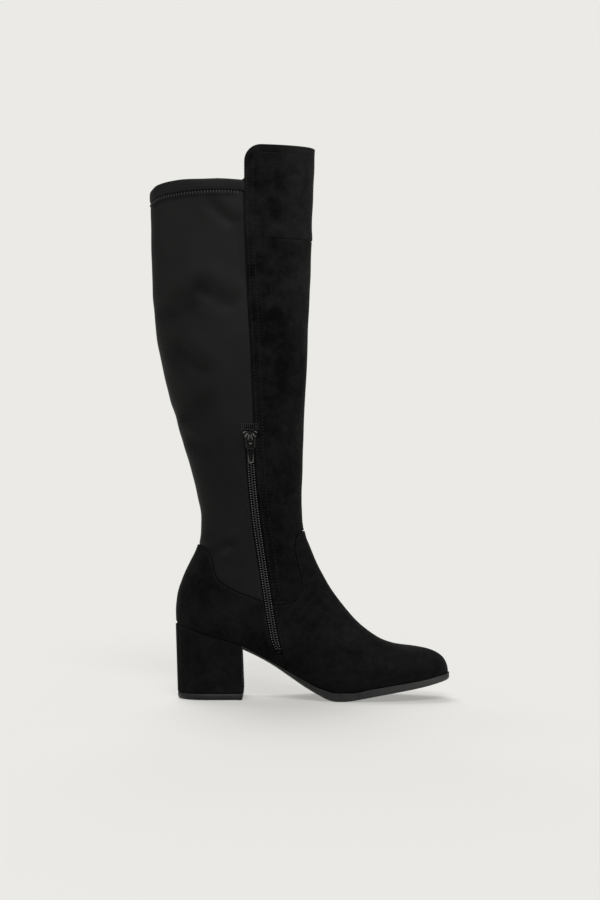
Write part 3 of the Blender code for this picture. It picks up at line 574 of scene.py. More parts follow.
    def half_sections(
        self, centre: Array, foot: Array, side: Array, ridge: Array, height: Array, shape: tuple[Array, ...]
    ) -> tuple[Array, Array]:
        """One side of every section, as y and distance up it, with points closer where it curves more."""
        widest, flat, narrow, heel = (column[:, None] for column in shape)
        centre, side, ridge, height = (column[:, None] for column in (centre, side, ridge, height))
        reach = np.maximum(np.abs(side - centre), 1e-6)
        start = np.arcsin(np.minimum(np.abs(foot[:, None] - centre) / reach, 0.999))
        turn = start + (HALF_PI - start) * np.linspace(0, 1, self.samples)
        low_y = centre + (side - centre) * np.sin(turn) * (1 - heel * np.cos(turn) ** 2)
        low_s = widest * height * (1 - np.cos(turn) / np.cos(start))
        turn = np.linspace(0, HALF_PI, self.samples)[None, :]
        high_y = ridge + (side - ridge) * np.cos(turn) * (1 - narrow * np.sin(turn) ** 2)
        shoulder = (widest + flat) * height
        high_s = shoulder + (height - shoulder) * np.sin(turn)
        y, s = np.concatenate([low_y, high_y], axis=1), np.concatenate([low_s, high_s], axis=1)
        way = np.unwrap(np.arctan2(np.gradient(s, axis=1), np.gradient(y, axis=1)), axis=1)
        turned = np.abs(np.gradient(way, axis=1))[:, 1:]
        spread = np.cumsum(np.hypot(np.diff(y), np.diff(s)) + self.curve_spread * turned, axis=1)
        spread = np.concatenate([np.zeros((len(y), 1)), spread], axis=1)
        share = np.linspace(0, 1, self.side_columns + 1)
        ys = [np.interp(share * total[-1], total, row) for total, row in zip(spread, y)]
        ss = [np.interp(share * total[-1], total, row) for total, row in zip(spread, s)]
        return np.array(ys), np.array(ss)

    def make_sheet(self) -> Sheet:
        """The sections joined into one sheet, closed at the toe's tip and round the heel and leg."""
        rings, closes = self.rings()
        rows, columns, _ = rings.shape
        fresh = np.ones((rows, columns), bool)
        fresh[closes:, -1] = False
        index = np.cumsum(fresh.ravel()).reshape(rows, columns) - 1
        index[closes:, -1] = index[closes:, 0]
        points = rings[fresh]
        nose = len(points)
        tip = np.array([[TOE_TIP_X, LAST["centre"][-1], float(LAST.read("seat", TOE_TIP_X))]])
        points = np.concatenate([points, tip])
        ahead, behind = index[:-1], index[1:]
        a, b, c, d = (part.ravel() for part in (ahead[:, :-1], ahead[:, 1:], behind[:, 1:], behind[:, :-1]))
        across = [np.linalg.norm(points[p] - points[q], axis=1) for p, q in ((a, c), (b, d))]
        short = (across[0] < across[1])[:, None]
        faces = np.concatenate([
            np.where(short, np.column_stack([a, b, c]), np.column_stack([a, b, d])),
            np.where(short, np.column_stack([a, c, d]), np.column_stack([b, c, d])),
            np.column_stack([index[0, 1:], index[0, :-1], np.full(columns - 1, nose)]),
        ])
        corner = points[faces]
        normal = np.cross(corner[:, 1] - corner[:, 0], corner[:, 2] - corner[:, 0])
        total = np.zeros_like(points)
        for k in range(3):
            np.add.at(total, faces[:, k], normal)
        edge = np.concatenate([index[: closes + 1, 0], index[:closes, -1], [nose]])
        slope = seat_slope(points[edge, 0])
        seat = unit(np.column_stack([-slope, np.zeros_like(slope), np.ones_like(slope)]))
        total[edge] -= seat * np.sum(total[edge] * seat, axis=1)[:, None]
        return Sheet(points, unit(total), faces)

    def ripple(self, points: Array) -> Array:
        """Slight unevenness: a sum of long waves in seeded directions."""
        rng = np.random.default_rng(self.seed)
        ways = unit(rng.normal(size=(self.waves, 3))) / rng.uniform(*self.wave_lengths, size=(self.waves, 1))
        phases = rng.uniform(0, 2 * np.pi, self.waves)
        waves = np.sin(2 * np.pi * points @ ways.T + phases).sum(axis=1)
        return self.wave_height * waves / np.sqrt(self.waves)

    def displaced(self, folds: Table) -> Sheet:
        """The sheet with its folds pressed in.

        Each fold is a soft trough along a line in the side view, with a low ridge on both sides of it.
        It fades towards the line's ends, towards the sole edge and where the zip lies.

        Args:
            folds: Rows of x, z, x, z, depth, width and side.

        Returns:
            The sheet with its points moved along their normals, and the folds' painted shade as its fold
            value.
        """
        x, y, z = self.sheet.points.T
        rise, shaded = np.zeros((2, len(x)))
        for x0, z0, x1, z1, depth, width, side in zip(*folds.columns.values()):
            run = np.array([x1 - x0, z1 - z0])
            length = np.hypot(*run)
            along = ((x - x0) * run[0] + (z - z0) * run[1]) / length**2
            bow = self.fold_bow * length * np.sin(np.pi * np.clip(along, 0, 1))
            off = ((x - x0) * -run[1] + (z - z0) * run[0]) / length + bow
            ridges = [self.fold_ridge * bell((off + k * width) / width) for k in (-2, 2)]
            shape = bell(off / width) - ridges[0] - ridges[1]
            ends = [ease(part / self.fold_end + self.fold_end) for part in (along, 1 - along)]
            fade = ends[0] * ends[1] * ease(0.5 + side * y / self.fold_across)
            rise -= depth * shape * fade
            # Painted shade: how dark each fold's trough is painted on the cloth.
            shaded += self.fold_shade * depth * bell((off / width + 0.5) / 1.3) * fade
        rise += self.ripple(self.sheet.points)
        foot = ease((z - LAST.read("seat", x) - self.seat_flat) / self.seat_fade)
        zip_off = np.where(y < 0, np.abs(seam_x(z) - CHANNEL_WIDTH / 2 - x), FAR)
        zip_near = 1 - ease((zip_off - self.zip_flat) / self.zip_fade)
        zip_near = zip_near * ease((ZIP_TOP_Z + self.zip_above - z) / self.zip_fade)
        rise *= foot * (1 - zip_near) * ease((PANEL_TOP_Z - z) / self.seat_fade)
        points = self.sheet.points + self.sheet.normals * rise[:, None]
        return Sheet(points, self.sheet.normals, self.sheet.faces, {"fold": shaded})


# ---------------------------------------------------------------------------- outlines in the side view


@dataclass
class Outline:
    """A closed line in the side view, held as many short pieces."""

    corners: Array
    step: float = 2.0

    def __post_init__(self) -> None:
        """Cuts the line into pieces and turns it anticlockwise."""
        ring = np.vstack([self.corners, self.corners[:1]])
        area = np.sum(ring[:-1, 0] * ring[1:, 1] - ring[1:, 0] * ring[:-1, 1])
        ring = ring[::-1] if area < 0 else ring
        run = lengths(ring)
        self.run = np.unique(np.concatenate([run, np.arange(0, run[-1], self.step)]).round(3))
        self.ring = read_run(self.run, run, ring)

    def measure(self, points: Array) -> tuple[Array, Array]:
        """Distance to the line, less than 0 inside it, and how far along it the nearest point lies."""
        parts = [self._measure(part) for part in np.array_split(points[:, [0, 2]], 1 + len(points) // 4000)]
        return np.concatenate([part[0] for part in parts]), np.concatenate([part[1] for part in parts])

    def _measure(self, points: Array) -> tuple[Array, Array]:
        """The same for a block of points in the side view."""
        a, b = self.ring[:-1], self.ring[1:]
        run, length2 = b - a, np.sum((b - a) ** 2, axis=1)
        off = points[:, None] - a[None]
        t = np.clip(np.sum(off * run, axis=2) / length2, 0, 1)
        gap = np.hypot(*(off - t[..., None] * run).transpose(2, 0, 1))
        nearest = gap.argmin(axis=1)
        rows = np.arange(len(points))
        above = (a[:, 1] > points[:, 1:]) != (b[:, 1] > points[:, 1:])
        rise = np.where(np.abs(run[:, 1]) < 1e-9, 1e-9, run[:, 1])
        crossing = a[:, 0] + (points[:, 1:] - a[:, 1]) * run[:, 0] / rise
        inside = np.sum(above & (points[:, :1] < crossing), axis=1) % 2 == 1
        along = self.run[nearest] + t[rows, nearest] * np.sqrt(length2[nearest])
        return gap[rows, nearest] * np.where(inside, -1, 1), along


def seam_run(low_z: float, high_z: float, step: float = 4.0) -> Array:
    """Points of the seam from low_z up to high_z."""
    z = np.linspace(low_z, high_z, max(2, int(round((high_z - low_z) / step)) + 1))
    return np.column_stack([seam_x(z), z])


def dense(points: Array, step: float = 2.0) -> Array:
    """A smooth run of points through the given ones, by length along them."""
    run = lengths(points)
    at = np.linspace(0, run[-1], int(run[-1] / step) + 2)
    return np.column_stack([smooth(run, points[:, k], at) for k in (0, 1)])


def zip_narrowing(z: Array) -> Array:
    """How much narrower the zip is at height z, where its low end runs into the seam."""
    return ZIP_TAPER * ease((ZIP_LOW_Z + ZIP_TAPER_LENGTH - z) / ZIP_TAPER_LENGTH)


def beside_seam(low_z: float, high_z: float, ahead: float, behind: float) -> Array:
    """A band along the seam between two distances behind it, narrower at the zip's low end."""
    seam = seam_run(low_z, high_z, 2.0)
    run = unit(np.gradient(seam, axis=0))
    back = np.column_stack([-run[:, 1], run[:, 0]])
    far = (behind - zip_narrowing(seam[:, 1]))[:, None]
    return np.vstack([seam + ahead * back, (seam + far * back)[::-1]])


def panel_corner() -> Array:
    """The rounded rear corner at the top of the front panel, up and then forwards."""
    turn = np.linspace(np.pi, HALF_PI, 14)
    centre = np.array([float(seam_x(PANEL_TOP_Z)) + PANEL_CORNER_R, PANEL_TOP_Z - PANEL_CORNER_R])
    return centre + PANEL_CORNER_R * np.column_stack([np.cos(turn), np.sin(turn)])


def front_outline() -> Array:
    """The suede front panel."""
    seam = seam_run(EDGES_MEET_Z, PANEL_TOP_Z - PANEL_CORNER_R)[:-1]
    front = [(FAR, PANEL_TOP_Z), (FAR, VAMP_EDGE["z"][0])]
    return np.vstack([seam, panel_corner(), front, dense(VAMP_EDGE.points())[1:]])


def foot_outline(edge: Table, far: float) -> Array:
    """A panel of the foot: below its edge, from the seam to far ahead or far behind."""
    low = seam_run(FAR_LOW_Z, EDGES_MEET_Z)
    return np.vstack([low, dense(edge.points())[::-1][1:], [(far, edge["z"][0]), (far, FAR_LOW_Z)]])


def vamp_outline() -> Array:
    """The vamp, over the toes and up to the instep."""
    return foot_outline(VAMP_EDGE, FAR)


def counter_outline() -> Array:
    """The counter, round the heel."""
    return foot_outline(COUNTER_EDGE, -FAR)


def back_outline() -> Array:
    """The stretch back panel."""
    seam = seam_run(EDGES_MEET_Z, HEM_FRONT_Z)
    return np.vstack([seam, dense(HEM_LINE.points())[::-1][1:], dense(COUNTER_EDGE.points())])


def collar_line() -> Array:
    """The hem's top edge, a little lower towards the front."""
    low = dense(HEM_LINE.points())
    return low + np.column_stack([np.zeros(len(low)), COLLAR_RISE - 1.3 * ease((low[:, 0] + 30) / 30)])


def hem_outline() -> Array:
    """The folded hem along the top of the back panel."""
    return np.vstack([dense(HEM_LINE.points()), collar_line()[::-1]])


def collar_outline() -> Array:
    """All of the upper below its collar."""
    low = collar_line()
    low = low[low[:, 0] < float(seam_x(HEM_FRONT_Z + COLLAR_RISE))]
    below = [(FAR, 2 * FAR_LOW_Z), (-FAR, 2 * FAR_LOW_Z), (-FAR, low[0, 1])]
    return np.vstack([below, low, panel_corner(), [(FAR, PANEL_TOP_Z)]])


# ---------------------------------------------------------------------------- meshes


@dataclass
class Bundle:
    """Points and faces that are gathered into one mesh, with a value at each point for the finish."""

    points: list[Array] = field(default_factory=list)
    faces: list[Array] = field(default_factory=list)
    marks: dict[str, list[Array]] = field(default_factory=dict)
    count: int = 0

    def add(self, points: Array, *faces: Array, **marks: Array | float) -> Bundle:
        """Adds a part: faces of any number of corners, and marks of one number or of one for each point."""
        self.faces += [np.asarray(part) + self.count for part in faces]
        self.points.append(points)
        for name in set(self.marks) | set(marks):
            held = self.marks.setdefault(name, [np.zeros(self.count)] if self.count else [])
            held.append(np.broadcast_to(marks.get(name, 0.0), (len(points),)).astype(float))
        self.count += len(points)
        return self

    def build(self, name: str, sharp: float) -> bpy.types.Object:
        """Makes the object, in metres.

        Args:
            name: The piece's name.
            sharp: Angle in degrees past which an edge isn't shaded smooth.

        Returns:
            The object, at the origin.
        """
        mesh = bpy.data.meshes.new(name)
        points = np.concatenate(self.points) * MM
        sizes = np.concatenate([np.full(len(f), f.shape[1]) for f in self.faces])
        corners = np.concatenate([f.ravel() for f in self.faces])
        mesh.vertices.add(len(points))
        mesh.vertices.foreach_set("co", points.astype(np.float32).ravel())
        mesh.loops.add(len(corners))
        mesh.loops.foreach_set("vertex_index", corners.astype(np.int32))
        mesh.polygons.add(len(sizes))
        mesh.polygons.foreach_set("loop_start", (np.cumsum(sizes) - sizes).astype(np.int32))
        for key, values in self.marks.items():
            mark = mesh.attributes.new(key, "FLOAT", "POINT")
            mark.data.foreach_set("value", np.concatenate(values).astype(np.float32))
        mesh.update(calc_edges=True)
        mesh.validate()
        mesh.shade_smooth()
        mesh.set_sharp_from_angle(angle=np.radians(sharp))
        thing = bpy.data.objects.new(name, mesh)
        bpy.context.scene.collection.objects.link(thing)
        return thing


def rounded(rings: Array, radius: float | Array, steps: int) -> Array:
    """Rings of points with each corner replaced by a curve.

    A corner gives way to a quadratic curve from radius before it to radius after it, and radius is
    never more than 0.45 of a side.

    Args:
        rings: Array of rings, points and coordinates.
        radius: One radius, or one for each corner.
        steps: Points on each curve.

    Returns:
        Rings with steps times as many points.
    """
    before, after = np.roll(rings, 1, axis=1) - rings, np.roll(rings, -1, axis=1) - rings
    reach = np.broadcast_to(np.asarray(radius, float), rings.shape[1:2])[None, :, None]
    ends = [
        rings + side * np.minimum(reach / np.maximum(np.linalg.norm(side, axis=2, keepdims=True), 1e-9), 0.45)
        for side in (before, after)
    ]
    t = np.linspace(0, 1, steps)[:, None]
    curve = [e[:, :, None] for e in (ends[0], rings, ends[1])]
    points = curve[0] * (1 - t) ** 2 + curve[1] * 2 * t * (1 - t) + curve[2] * t**2
    return points.reshape(len(rings), -1, 3)


def softened(line: Array, radius: float, steps: int) -> Array:
    """A closed line in a plane with its corners rounded, at height 0."""
    return rounded(np.column_stack([line, np.zeros(len(line))])[None], radius, steps)[0]


def tube_faces(rows: int, columns: int, closed: bool = False) -> Array:
    """Quads between rows of points that are rings; closed joins the last row to the first."""
    index = np.arange(rows * columns).reshape(rows, columns)
    low, high = (index, np.roll(index, -1, axis=0)) if closed else (index[:-1], index[1:])
    turn = [np.roll(part, -1, axis=1) for part in (low, high)]
    return np.stack([low, turn[0], turn[1], high], axis=2).reshape(-1, 4)


def loft(rings: Array) -> tuple[Array, Array, Array]:
    """A closed solid through rings of points, closed by a fan at each end.

    Args:
        rings: Array of rings, points and coordinates.

    Returns:
        Its points, its quads and its triangles.
    """
    rows, columns, _ = rings.shape
    points = np.vstack([rings[0].mean(axis=0)[None], rings.reshape(-1, 3), rings[-1].mean(axis=0)[None]])
    first, last = 1 + np.arange(columns), 1 + (rows - 1) * columns + np.arange(columns)
    start = np.column_stack([np.roll(first, -1), first, np.zeros(columns, int)])
    end = np.column_stack([last, np.roll(last, -1), np.full(columns, len(points) - 1)])
    return points, tube_faces(rows, columns) + 1, np.vstack([start, end])


def swept(path: Array, side: Array, out: Array, profile: Array) -> Array:
    """A profile carried along a path: path + side times its first column + out times its second."""
    return path[:, None] + side[:, None] * profile[None, :, :1] + out[:, None] * profile[None, :, 1:]


def spaced(points: Array, normals: Array, step: float) -> tuple[Array, Array, Array]:
    """Points at even steps along a line.

    Args:
        points: The line's points, in order.
        normals: The way out at each.
        step: Distance between the new points.

    Returns:
        New points, ways along and ways out.
    """
    run = lengths(points)
    keep = np.concatenate([[True], np.diff(run) > 1e-6])
    run, points, normals = run[keep], points[keep], normals[keep]
    at = (np.arange(int(run[-1] / step)) + 0.5) * step
    along = unit(read_run(at + 0.4 * step, run, points) - read_run(at - 0.4 * step, run, points))
    normal = read_run(at, run, normals)
    normal = unit(normal - along * np.sum(normal * along, axis=1)[:, None])
    return read_run(at, run, points), along, normal


def stamped(template: Array, at: Array, along: Array, out: Array, wide: Array | float = 1.0) -> Array:
    """A small shape set down at each point: its x lies along, its y across, scaled by wide, and its z out."""
    across = np.cross(out, along) * np.reshape(wide, (-1, 1))
    frames = np.stack([along, across, out], axis=1)
    return (at[:, None] + np.einsum("pk,nkc->npc", template, frames)).reshape(-1, 3)


def repeated(faces: Array, size: int, count: int) -> Array:
    """The template's faces for each of its copies."""
    return (faces[None] + size * np.arange(count)[:, None, None]).reshape(-1, faces.shape[1])


@dataclass(frozen=True)
class Thread:
    """One stitch: a short thread that dives at both ends."""

    length: float
    thick: float
    sides: int = 6
    share: tuple[float, ...] = (-1.0, -0.82, -0.4, 0.4, 0.82, 1.0)
    wide: tuple[float, ...] = (0.15, 0.8, 1.0, 1.0, 0.8, 0.15)

    def template(self) -> Array:
        """Its points, ring by ring, with x along the stitch and z out."""
        turn = np.arange(self.sides) * 2 * np.pi / self.sides
        share, wide = np.array(self.share)[:, None], np.array(self.wide)[:, None] * self.thick / 2
        lift = self.thick * (0.28 - 0.75 * share**6)
        flat = np.zeros(self.sides)
        rings = [share * self.length / 2 + flat, wide * np.cos(turn), lift + wide * np.sin(turn)]
        return np.stack(rings, axis=2).reshape(-1, 3)

    def sew(self, bundle: Bundle, at: Array, along: Array, out: Array) -> None:
        """Adds a stitch at each point to the bundle."""
        count, size = len(self.share), len(self.share) * self.sides
        ends = np.vstack([np.arange(self.sides)[::-1], size - self.sides + np.arange(self.sides)])
        faces = (repeated(part, size, len(at)) for part in (tube_faces(count, self.sides), ends))
        bundle.add(stamped(self.template(), at, along, out), *faces)


# ---------------------------------------------------------------------------- finishes


class Graph:
    """A material's nodes, added one by one."""

    def __init__(self, name: str) -> None:
        """Starts the material with its shader."""
        self.material = bpy.data.materials.new(name)
        self.material.use_nodes = True
        self.tree = self.material.node_tree
        self.shader = self.tree.nodes["Principled BSDF"]

    def add(self, kind: str, settings: dict[str, object] | None = None, **inputs: object) -> bpy.types.Node:
        """Adds a node.

        Args:
            kind: Its type without the ShaderNode in front.
            settings: Properties of the node.
            inputs: Values, or output sockets to link, by socket name with spaces as underscores.

        Returns:
            The node.
        """
        node = self.tree.nodes.new("ShaderNode" + kind)
        for key, value in (settings or {}).items():
            setattr(node, key, value)
        self.feed(node, **inputs)
        return node

    def feed(self, node: bpy.types.Node, **inputs: object) -> None:
        """Sets or links the node's inputs; a name such as _1 means the input of that number."""
        for key, value in inputs.items():
            socket = node.inputs[int(key[1:])] if key[0] == "_" else node.inputs[key.replace("_", " ")]
            if isinstance(value, Socket):
                self.tree.links.new(value, socket)
            else:
                socket.default_value = value

    def place(self, stretch: tuple[float, float, float] = (1.0, 1.0, 1.0)) -> Socket:
        """Object coordinates, times stretch."""
        where = self.add("TexCoord").outputs["Object"]
        return self.add("Mapping", Vector=where, Scale=stretch).outputs["Vector"]

    def axis(self, name: str) -> Socket:
        """One of the object coordinates."""
        return self.add("SeparateXYZ", Vector=self.add("TexCoord").outputs["Object"]).outputs[name]

    def noise(self, scale: float, detail: float = 2.0, rough: float = 0.5, warp: float = 0.0) -> Socket:
        """Noise with about `scale` bumps to the metre, 0 to 1."""
        settings = {"Scale": scale, "Detail": detail, "Roughness": rough, "Distortion": warp}
        return self.add("TexNoise", Vector=self.place(), **settings).outputs["Fac"]

    def bands(self, way: str, scale: float) -> Socket:
        """Ribs across an axis, about `scale` of them to 0.3 m, 0 to 1."""
        settings = {"wave_type": "BANDS", "bands_direction": way}
        return self.add("TexWave", settings, Vector=self.place(), Scale=scale).outputs["Fac"]

    def mark(self, name: str) -> Socket:
        """A value kept at the mesh's points."""
        return self.add("Attribute", {"attribute_name": name}).outputs["Fac"]

    def level(self, value: object, low: float, high: float, to: tuple[float, float] = (0.0, 1.0)) -> Socket:
        """The value's range from low to high carried to another, smoothly and held at both ends."""
        settings = {"interpolation_type": "SMOOTHSTEP", "clamp": True}
        ends = {"From_Min": low, "From_Max": high, "To_Min": to[0], "To_Max": to[1]}
        return self.add("MapRange", settings, Value=value, **ends).outputs["Result"]

    def sum(self, *parts: tuple[object, float]) -> Socket:
        """Values times their weights, added up."""
        total: object = 0.0
        for value, weight in parts:
            node = self.add("Math", {"operation": "MULTIPLY_ADD"}, _0=value, _1=weight, _2=total)
            total = node.outputs["Value"]
        return total

    def times(self, first: object, second: object) -> Socket:
        """Two values multiplied."""
        return self.add("Math", {"operation": "MULTIPLY"}, _0=first, _1=second).outputs["Value"]

    def tones(self, value: object, *stops: tuple[float, tuple[float, float, float]]) -> Socket:
        """Colours along a ramp, as places and colours."""
        ramp = self.add("ValToRGB", Fac=value)
        band = ramp.color_ramp
        while len(band.elements) < len(stops):
            band.elements.new(0.5)
        for element, (place, colour) in zip(band.elements, stops):
            element.position = place
            element.color = (*colour, 1.0)
        return ramp.outputs["Color"]

    def bump(self, height: object, distance: float) -> None:
        """Links a height to the shader's normal; distance is in metres."""
        node = self.add("Bump", Height=height, Distance=distance, Strength=1.0)
        self.feed(self.shader, Normal=node.outputs["Normal"])


@dataclass(frozen=True)
class Coat:
    """What every finish has: a name, and a material painted node by node."""

    name: str

    def make(self) -> bpy.types.Material:
        """Builds the material."""
        graph = Graph(self.name)
        self.paint(graph)
        return graph.material

    def paint(self, g: Graph) -> None:
        """Adds the finish's nodes to the graph."""
        raise NotImplementedError


def grey(value: float, warmth: float = 0.0) -> tuple[float, float, float]:
    """A grey, warmer above 0 and cooler below."""
    return (value * (1 + warmth), value, value * (1 - warmth))


@dataclass(frozen=True)
class Suede(Coat):
    """Napped black suede: a mottled tone, streaks in the nap, scuffed, lighter edges, and painted light and
    shade by place.
    """

    name: str = "black_suede"
    dark: float = 0.0014
    pale: float = 0.0120
    sheen: float = 0.055

    def paint(self, g: Graph) -> None:
        """Mottled tone with painted shade and light by place (darker up the shaft, lighter towards its front
        edge, round the heel and at the top), lighter at scuffed edges, under a napped bump.
        """
        patches = g.sum((g.noise(26.0, 3.0, 0.5, 0.5), 0.6), (g.noise(75.0, 3.0, 0.6, 0.4), 0.4))
        height = g.axis("Z")
        contrast = g.level(height, 0.08, 0.42, (0.5, 1.0))
        # Painted light: lighter near the top of the shaft.
        painted_top_light = g.level(height, 0.42, 0.47, (0.0, 0.09))
        # Painted shade: the shaft above the foot darker than the foot.
        shade = g.level(height, 0.085, 0.11, (0.24, 0.18))
        # Painted light: lighter towards the front edge, more so higher up.
        front = g.times(g.level(g.axis("X"), 0.055, 0.085), g.level(height, 0.09, 0.5, (0.04, 0.19)))
        # Painted light: lighter round the heel.
        heel = g.level(g.axis("X"), 0.02, 0.06, (0.05, 0.0))
        mottle = g.noise(160.0, 3.0, 0.6, 0.3)
        fibres = g.noise(1500.0, 2.0, 0.6)
        worn = g.level(g.mark("edge"), 0.2, 1.6, (1.0, 0.0))
        spread = g.times(g.sum((patches, 1.0), (-0.5, 1.0)), contrast)
        tone = g.sum((spread, 1.0), (mottle, 0.28), (fibres, 0.15), (worn, 0.05), (painted_top_light, 1.0), (shade, 1.0))
        tone = g.sum((tone, 1.0), (front, 1.0), (heel, 1.0))
        colour = g.tones(tone, (0.34, grey(self.dark, -0.03)), (0.84, grey(self.pale, 0.01)))
        g.feed(g.shader, Base_Color=colour, Roughness=0.95, Sheen_Weight=self.sheen, Sheen_Roughness=0.3)
        g.feed(g.shader, Specular_IOR_Level=0.04, Sheen_Tint=(*grey(0.8), 1.0))
        g.bump(g.sum((fibres, 0.5), (mottle, 0.5), (g.noise(620.0, 2.0, 0.5), 0.6)), 0.0005)


@dataclass(frozen=True)
class StretchCloth(Coat):
    """Satin stretch cloth with a fine rib that runs up the leg."""

    name: str = "stretch_cloth"
    dark: float = 0.0022
    pale: float = 0.0072
    # How dark the painted shadow under the hem is.
    hem_shadow: float = 0.0

    def paint(self, g: Graph) -> None:
        """Soft tone with painted shade: darker towards the bottom, in the folds and in a band under the hem;
        under a fine rib.
        """
        tone = g.sum((g.noise(13.0, 2.0, 0.5, 0.4), 0.55), (g.noise(45.0), 0.25), (g.noise(900.0), 0.2))
        height = g.axis("Z")
        # Painted shade: darker towards the bottom of the leg.
        tone = g.times(tone, g.level(height, 0.2, 0.38, (0.45, 1.0)))
        # Painted shadow: a band just under the hem, at the back.
        hem_shadow = g.times(g.level(g.mark("edge"), 4.5, 7.5, (1.0, 0.0)), g.level(height, 0.36, 0.46))
        hem_shadow = g.times(hem_shadow, g.level(g.axis("X"), 0.02, 0.027, (1.0, 0.0)))
        # Painted shade in the folds and painted shadow under the hem.
        tone = g.sum((tone, 1.0), (g.mark("fold"), -0.28), (hem_shadow, -self.hem_shadow))
        colour = g.tones(tone, (0.12, grey(self.dark, -0.02)), (0.62, grey(self.pale)))
        g.feed(g.shader, Base_Color=colour, Roughness=0.55, Sheen_Weight=0.03, Sheen_Roughness=0.35)
        g.feed(g.shader, Specular_IOR_Level=0.1)
        turns = {"wave_type": "BANDS", "bands_direction": "DIAGONAL", "wave_profile": "SIN"}
        rib = g.add("TexWave", turns, Vector=g.place((1.0, 1.0, 0.02)), Scale=620.0, Distortion=0.2)
        g.bump(g.sum((rib.outputs["Fac"], 0.5), (g.noise(2200.0), 0.4)), 0.00012)


@dataclass(frozen=True)
class WovenCloth(Coat):
    """Matt black weave: a mottled tone, and fine ribs across each of the named axes."""

    tone: float
    shade: float
    grain: float
    rough: float
    ribs: str
    threads: float

    def paint(self, g: Graph) -> None:
        """Mottled tone under the ribs, which are multiplied where there are two sets."""
        colour = g.tones(g.noise(self.grain), (0.3, grey(self.tone * self.shade)), (0.7, grey(self.tone)))
        g.feed(g.shader, Base_Color=colour, Roughness=self.rough, Specular_IOR_Level=0.05)
        ribs = [g.bands(way, self.threads) for way in self.ribs]
        g.bump(g.times(*ribs) if len(ribs) == 2 else ribs[0], 0.0002)


@dataclass(frozen=True)
class Rubber(Coat):
    """Charcoal moulded rubber with faint scuffs and painted highlights along its edges."""

    name: str = "charcoal_rubber"
    dark: float = 0.006
    pale: float = 0.024

    def paint(self, g: Graph) -> None:
        """Scuffed tone, lighter at the painted highlights of its mark, with uneven gloss."""
        scuffs = g.add("TexNoise", Vector=g.place((1.0, 1.0, 0.12)), Scale=420.0, Detail=3.0, Roughness=0.6)
        tone = g.sum((scuffs.outputs["Fac"], 0.5), (g.noise(60.0), 0.4), (g.mark("worn"), 0.45))
        colour = g.tones(tone, (0.35, grey(self.dark)), (0.9, grey(self.pale, 0.01)))
        g.feed(g.shader, Base_Color=colour, Roughness=g.level(g.noise(240.0, 3.0), 0.3, 0.7, (0.42, 0.6)))
        g.feed(g.shader, Specular_IOR_Level=0.2)
        g.bump(g.sum((g.noise(1300.0), 0.7), (scuffs.outputs["Fac"], 0.4)), 0.00015)


@dataclass(frozen=True)
class BlackNylon(Coat):
    """Moulded black zip teeth with a low gloss."""

    name: str = "black_nylon"
    tone: float = 0.07

    def paint(self, g: Graph) -> None:
        """Black tone, lighter at the painted highlights on the teeth's tips."""
        tone = g.sum((g.mark("worn"), 0.8), (g.noise(900.0), 0.2))
        colour = g.tones(tone, (0.15, grey(self.tone * 0.03)), (0.9, grey(self.tone)))
        g.feed(g.shader, Base_Color=colour, Roughness=0.4, Specular_IOR_Level=0.15)
        g.bump(g.noise(3000.0, 1.0), 0.00005)


@dataclass(frozen=True)
class BlackMetal(Coat):
    """Black lacquered metal, glossy, with fine handling marks and painted glints on its edges."""

    name: str = "black_metal"

    def paint(self, g: Graph) -> None:
        """Lacquered tone, lighter at the painted glints of its mark, with uneven gloss."""
        # The mark holds painted glints and highlights.
        worn = g.level(g.mark("worn"), 0.2, 1.0)
        tone = g.sum((worn, 0.8), (g.noise(900.0, 3.0), 0.2))
        colour = g.tones(tone, (0.1, grey(0.002)), (0.8, grey(0.15, 0.02)))
        g.feed(g.shader, Base_Color=colour, Roughness=g.level(g.noise(700.0, 3.0), 0.3, 0.7, (0.22, 0.36)))
        g.feed(g.shader, Metallic=0.1, Specular_IOR_Level=0.12)
        g.bump(g.noise(1400.0), 0.00004)


@dataclass(frozen=True)
class SewingThread(Coat):
    """Black sewing thread with a slight shine."""

    name: str = "black_thread"
    tone: float = 0.013
    rough: float = 0.6

    def paint(self, g: Graph) -> None:
        """A tone that varies a little along the thread."""
        colour = g.tones(g.noise(1500.0, 1.0), (0.3, grey(self.tone * 0.7)), (0.7, grey(self.tone)))
        g.feed(g.shader, Base_Color=colour, Roughness=self.rough, Specular_IOR_Level=0.1)
        g.bump(g.noise(4000.0, 1.0), 0.00005)


@dataclass(frozen=True)
class Paper(Coat):
    """The pale matt ground that the boot stands on, as bright as the air where nothing shades it."""

    air: tuple[float, float, float]
    dim: float
    white: float = 0.35

    def paint(self, g: Graph) -> None:
        """A plain tone, and the glow that makes up what the floor's light leaves."""
        tint = g.tones(g.noise(2.0, 1.0), (0.0, grey(self.white)), (1.0, grey(self.white)))
        glow = tuple(value * (1 - self.dim * self.white) for value in self.air)
        g.feed(g.shader, Base_Color=tint, Roughness=1.0, Specular_IOR_Level=0.0)
        g.feed(g.shader, Emission_Color=(*glow, 1.0), Emission_Strength=1.0)


class Finish(Enum):
    """The boot's finishes."""

    SUEDE = Suede()
    # The back panel takes a painted shadow under its hem.
    STRETCH = StretchCloth(hem_shadow=0.4)
    FOLDED = StretchCloth("folded_cloth")
    LINING = WovenCloth("lining_cloth", 0.005, 0.7, 700.0, 0.85, "ZX", 420.0)
    RUBBER = Rubber()
    TAPE = WovenCloth("woven_tape", 0.0025, 0.6, 1100.0, 0.8, "Z", 520.0)
    NYLON = BlackNylon()
    METAL = BlackMetal()
    THREAD = SewingThread()
    DARK_THREAD = SewingThread("deep_thread", 0.006)
    PALE_THREAD = SewingThread("hem_thread", 0.034, 0.5)

    def material(self) -> bpy.types.Material:
        """The finish's material, made once."""
        return bpy.data.materials.get(self.value.name) or self.value.make()


